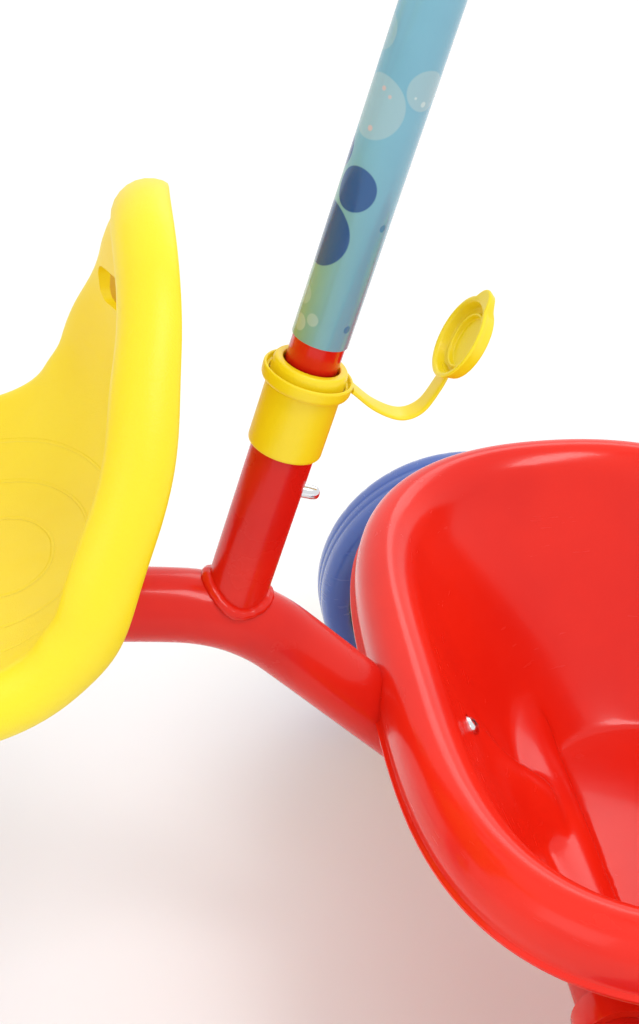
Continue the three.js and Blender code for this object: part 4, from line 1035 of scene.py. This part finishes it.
# ------------------------------------------------------------ wheels
def tyre(node, centre, radius, width, depth, body, side=None):
    """A moulded tyre with rounded shoulders and two shallow bands round its tread."""
    half, bore = width / 2, radius - depth
    line = [[bore, -half + 5], [bore + 2.5, -half + 1], [radius - 10, -half], [radius - 3.6, -half + 2.6]]
    line += [[radius - 0.3, -half + 9]]
    line += [[radius, -6], [radius - 0.6, -4.6], [radius - 0.6, -3.2], [radius, -1.8]]
    line += [[r, -h] for r, h in line[::-1]]
    line = soften(line, 3.4, 5, closed=True)
    blocks = 60

    def tread(r, h, angle):
        """Shallow cuts across each shoulder."""
        edge = max(0, 1 - abs(abs(h) - (half - 7.5)) / 5)
        cut = max(0, cos(angle * blocks / 2)) ** 10
        high = max(0, min(1, (r - radius + 6) / 4))
        return r - 0.25 * edge * cut * high, h
    make(node, lathe(line + [line[0]], centre, Y, 240, tread), BM, body, side)


def hub(node, centre, radius, width, bore, body, side=None):
    """A dished hub: a boss on the axle, a spoked web and a flange under the tyre."""
    half, flange = width / 2, radius - 0.3
    line = [[bore, -half - 2], [15, -half - 2], [16.6, -half], [17.5, -half + 5], [24, -6]]
    line += [[(radius - 17 + 24) / 2, -5], [radius - 17, -5], [radius - 12, -half + 9]]
    line += [[radius - 9, -half + 4], [flange - 1.4, -half + 2.4], [flange, -half + 5]]
    line += [[r, -h] for r, h in line[::-1]]
    line = soften(line, 2.6, 4, closed=True)
    spokes = 5

    def webs(r, h, angle):
        """Raised spokes with sunk pockets between them."""
        if 19 < r < radius - 12.5:
            share = (r - 19) / (radius - 31.5)
            rise = sin(pi * min(1, max(0, share))) ** 0.5
            spoke = max(0, cos(angle * spokes) * 1.5 - 0.2)
            sign = 1 if h > 0 else -1
            return r, h + sign * min(1, spoke) * rise * min(7.5, half - 12)
        return r, h
    dense = []
    for i, p in enumerate(line):
        q = line[(i + 1) % len(line)]
        dense.append(p)
        steps = int(norm(np.array(q) - p) // 3)
        dense += [np.array(p) + (np.array(q) - p) * k / (steps + 1) for k in range(1, steps + 1)]
    make(node, lathe(dense + [dense[0]], centre, Y, 240, webs), YM, body, side)


for side, name in SIDES:
    centre = rear_axle + Y * side * 0.232
    tyre("rear_tyre", centre, 90, 44, 18, "rear_wheel_" + name, name)
    hub("rear_hub", centre, 72, 44, 5.25, "rear_wheel_" + name, name)
    line = soften([[5.3, 24.3], [14.6, 24.3], [15, 25], [14.6, 28.6], [11, 33], [5, 35], [0, 35.3]], 1.4, 4)
    under = [[0, 31.3], [5.3, 30.3], [5.3, 24.3]]
    cap = join(lathe(line, centre, Y * side, 64), lathe(under, centre, Y * side, 64))
    make("hub_cap", cap, BM, "frame", name, weld=2e-6)
tyre("front_tyre", front_axle, 120, 46, 22, "front_wheel")
hub("front_hub", front_axle, 98, 44, 5.8, "front_wheel")

swing, arm, pin = X * 0.072, Y * 0.064, Y * 0.156
crank_path = bent([front_axle + swing + pin, front_axle + swing + arm, front_axle + arm,
                   front_axle - arm, front_axle - swing - arm, front_axle - swing - pin], 9, 10)
make("crank_rod", tube(crank_path, 5.5, 36), ST, "front_wheel")
for side, name in SIDES:
    centre = front_axle + swing * side + Y * side * 0.113
    rings = []
    steps = 78
    for k in range(steps + 1):
        y = -39 + 78 * k / steps
        ridge = 0.9 * max(0, cos(k / steps * 2 * pi * 9)) ** 0.6 if 4 < k < steps - 4 else 0
        edge = 1 - (max(0, abs(y) - 36) / 3) ** 2 * 0.12
        ring = []
        for i in range(64):
            t = tau * i / 64
            c, s = cos(t), sin(t)
            x, z = 31 * edge * power(c, 0.62), (11.1 + ridge) * edge * power(s, 0.42)
            ring.append(centre + np.array([x, y, z]) / 1000)
        rings.append(ring)
    mesh = loft(rings, True, centre - Y * 0.039, centre + Y * 0.039)
    bore = plug(5.75, -50, 50, centre, Y, 32)
    make("pedal", mesh, BM, "pedal_" + name, name, cut=[bore])
    nut_at = centre.copy()
    nut_at[1] = side * (64 + 10 + 78 + 1.3) / 1000
    nut = [[5.8, 0], [8.3, 0], [8.5, 1], [8.2, 4.4], [7, 5], [5.8, 5]]
    nut = ring_skin(nut, 0.4, 2, nut_at, Y * side, 40)
    make("pedal_nut", nut, ST, "front_wheel", name)

# ------------------------------------------------------------ seat fixings
def rounded_block(centre, size, corner, edge=0.8):
    """A plate with rounded corners and softened edges, square to the axes."""
    wide, deep, top = size[0] / 2 - corner, size[1] / 2 - corner, size[2] / 2
    rings = []
    for z, inset in ((-top, edge), (-top + edge, 0), (top - edge, 0), (top, edge)):
        ring = []
        for cx, cy, c, s in rounding(7):
            reach = corner - inset
            ring.append(np.array([cx * wide + c * reach, cy * deep + s * reach, z]) / 1000 + centre)
        rings.append(ring)
    return loft(rings, True, centre - Z * size[2] / 2000, centre + Z * size[2] / 2000)


def cad_range(name):
    """The lowest and highest corners of one of the frame's own solids, in metres."""
    node = bpy.data.objects[name]
    points = np.array([node.matrix_world @ v.co for v in node.data.vertices])
    return points.min(0), points.max(0)


low, high = cad_range("seat_bracket")
middle = (low + high) / 2
long, wide, tall = (high - low) * 1000
plate = rounded_block(np.array([middle[0], 0, high[2] - 0.0022]), (long, wide, 4.4), 9)
web_z = (high[2] - 0.001 + low[2]) / 2
bracket_webs = [rounded_block(np.array([middle[0], side * 0.0193, web_z]), (long - 4, 4, tall - 1), 1.6, 0.5)
                for side in (1, -1)]
bracket_holes = []
for name in ("left", "right"):
    bolt_low, bolt_high = cad_range("seat_bolt_" + name)
    foot = (bolt_low + bolt_high) / 2 * [1, 1, 0] + Z * bolt_low[2]
    reach = (bolt_high[2] - bolt_low[2]) * 1000
    neck_z = reach - 4.2
    shank = [[0, 0], [2.9, 0], [2.9, neck_z], [5.8, neck_z], [5.6, reach - 2.6], [3.6, reach - 0.6], [0, reach]]
    shank = lathe(soften(shank, 0.6, 4), foot, Z, 48)
    slots = cross_cutters(foot, X, Y, Z, 2.7, reach - 1.6, reach + 4)
    make("seat_bolt", shank, ST, "frame", name, cut=slots)
    nut_low, nut_high = cad_range("seat_nut_" + name)
    tall = (nut_high[2] - nut_low[2]) * 1000
    nut = [[3.1, 0.4], [4.6, 0], [6.2, 0.6], [6.2, tall - 0.6], [4.6, tall], [3.1, tall - 0.4]]
    nut = ring_skin(nut, 0.3, 2, foot * [1, 1, 0] + Z * nut_low[2], Z, 6)
    make("seat_nut", nut, ST, "frame", name, angle=25)
    bracket_holes.append(plug(3.3, -60, 60, foot, Z, 24))
make("seat_bracket", plate, RP, "frame", add=bracket_webs, cut=bracket_holes)

# ------------------------------------------------------------ floor and light
FLOOR = 40
floor_data = bpy.data.meshes.new("floor")
floor_corners = [(x * FLOOR, y * FLOOR, 0) for x, y in ((-1, -1), (1, -1), (1, 1), (-1, 1))]
floor_data.from_pydata(floor_corners, [], [(0, 1, 2, 3)])
floor = linked("floor", floor_data)
pale = Shader("floor_pale", (0.9, 0.9, 0.9), 0.8)
pale.paint(pale.mix(pale.ranged(pale.noise(3, 2), 0.3, 0.7, 0, 1), (0.91, 0.91, 0.91), (0.89, 0.89, 0.89)))
floor_data.materials.append(pale.material)

world = bpy.data.worlds.new("studio")
bpy.context.scene.world = world
world.use_nodes = True
world.node_tree.nodes["Background"].inputs["Color"].default_value = (1, 1, 1, 1)
world.node_tree.nodes["Background"].inputs["Strength"].default_value = 1.0


def lamp(name, place, target, size, power):
    data = bpy.data.lights.new(name, "AREA")
    data.shape = "RECTANGLE"
    data.size, data.size_y = size
    data.energy = power
    obj = linked(name, data)
    obj.location = place
    obj.rotation_euler = (Vector(target) - Vector(place)).to_track_quat("-Z", "Y").to_euler()


lamp("key", (-0.9, 0.9, 2.4), (-0.1, 0, 0.3), (0.5, 1.2), 16)
lamp("fill", (1.6, 1.4, 1.6), (0, 0, 0.3), (1.4, 1.4), 7)
lamp("back", (-1.2, -1.8, 1.8), (-0.1, 0, 0.3), (1.6, 0.8), 9)
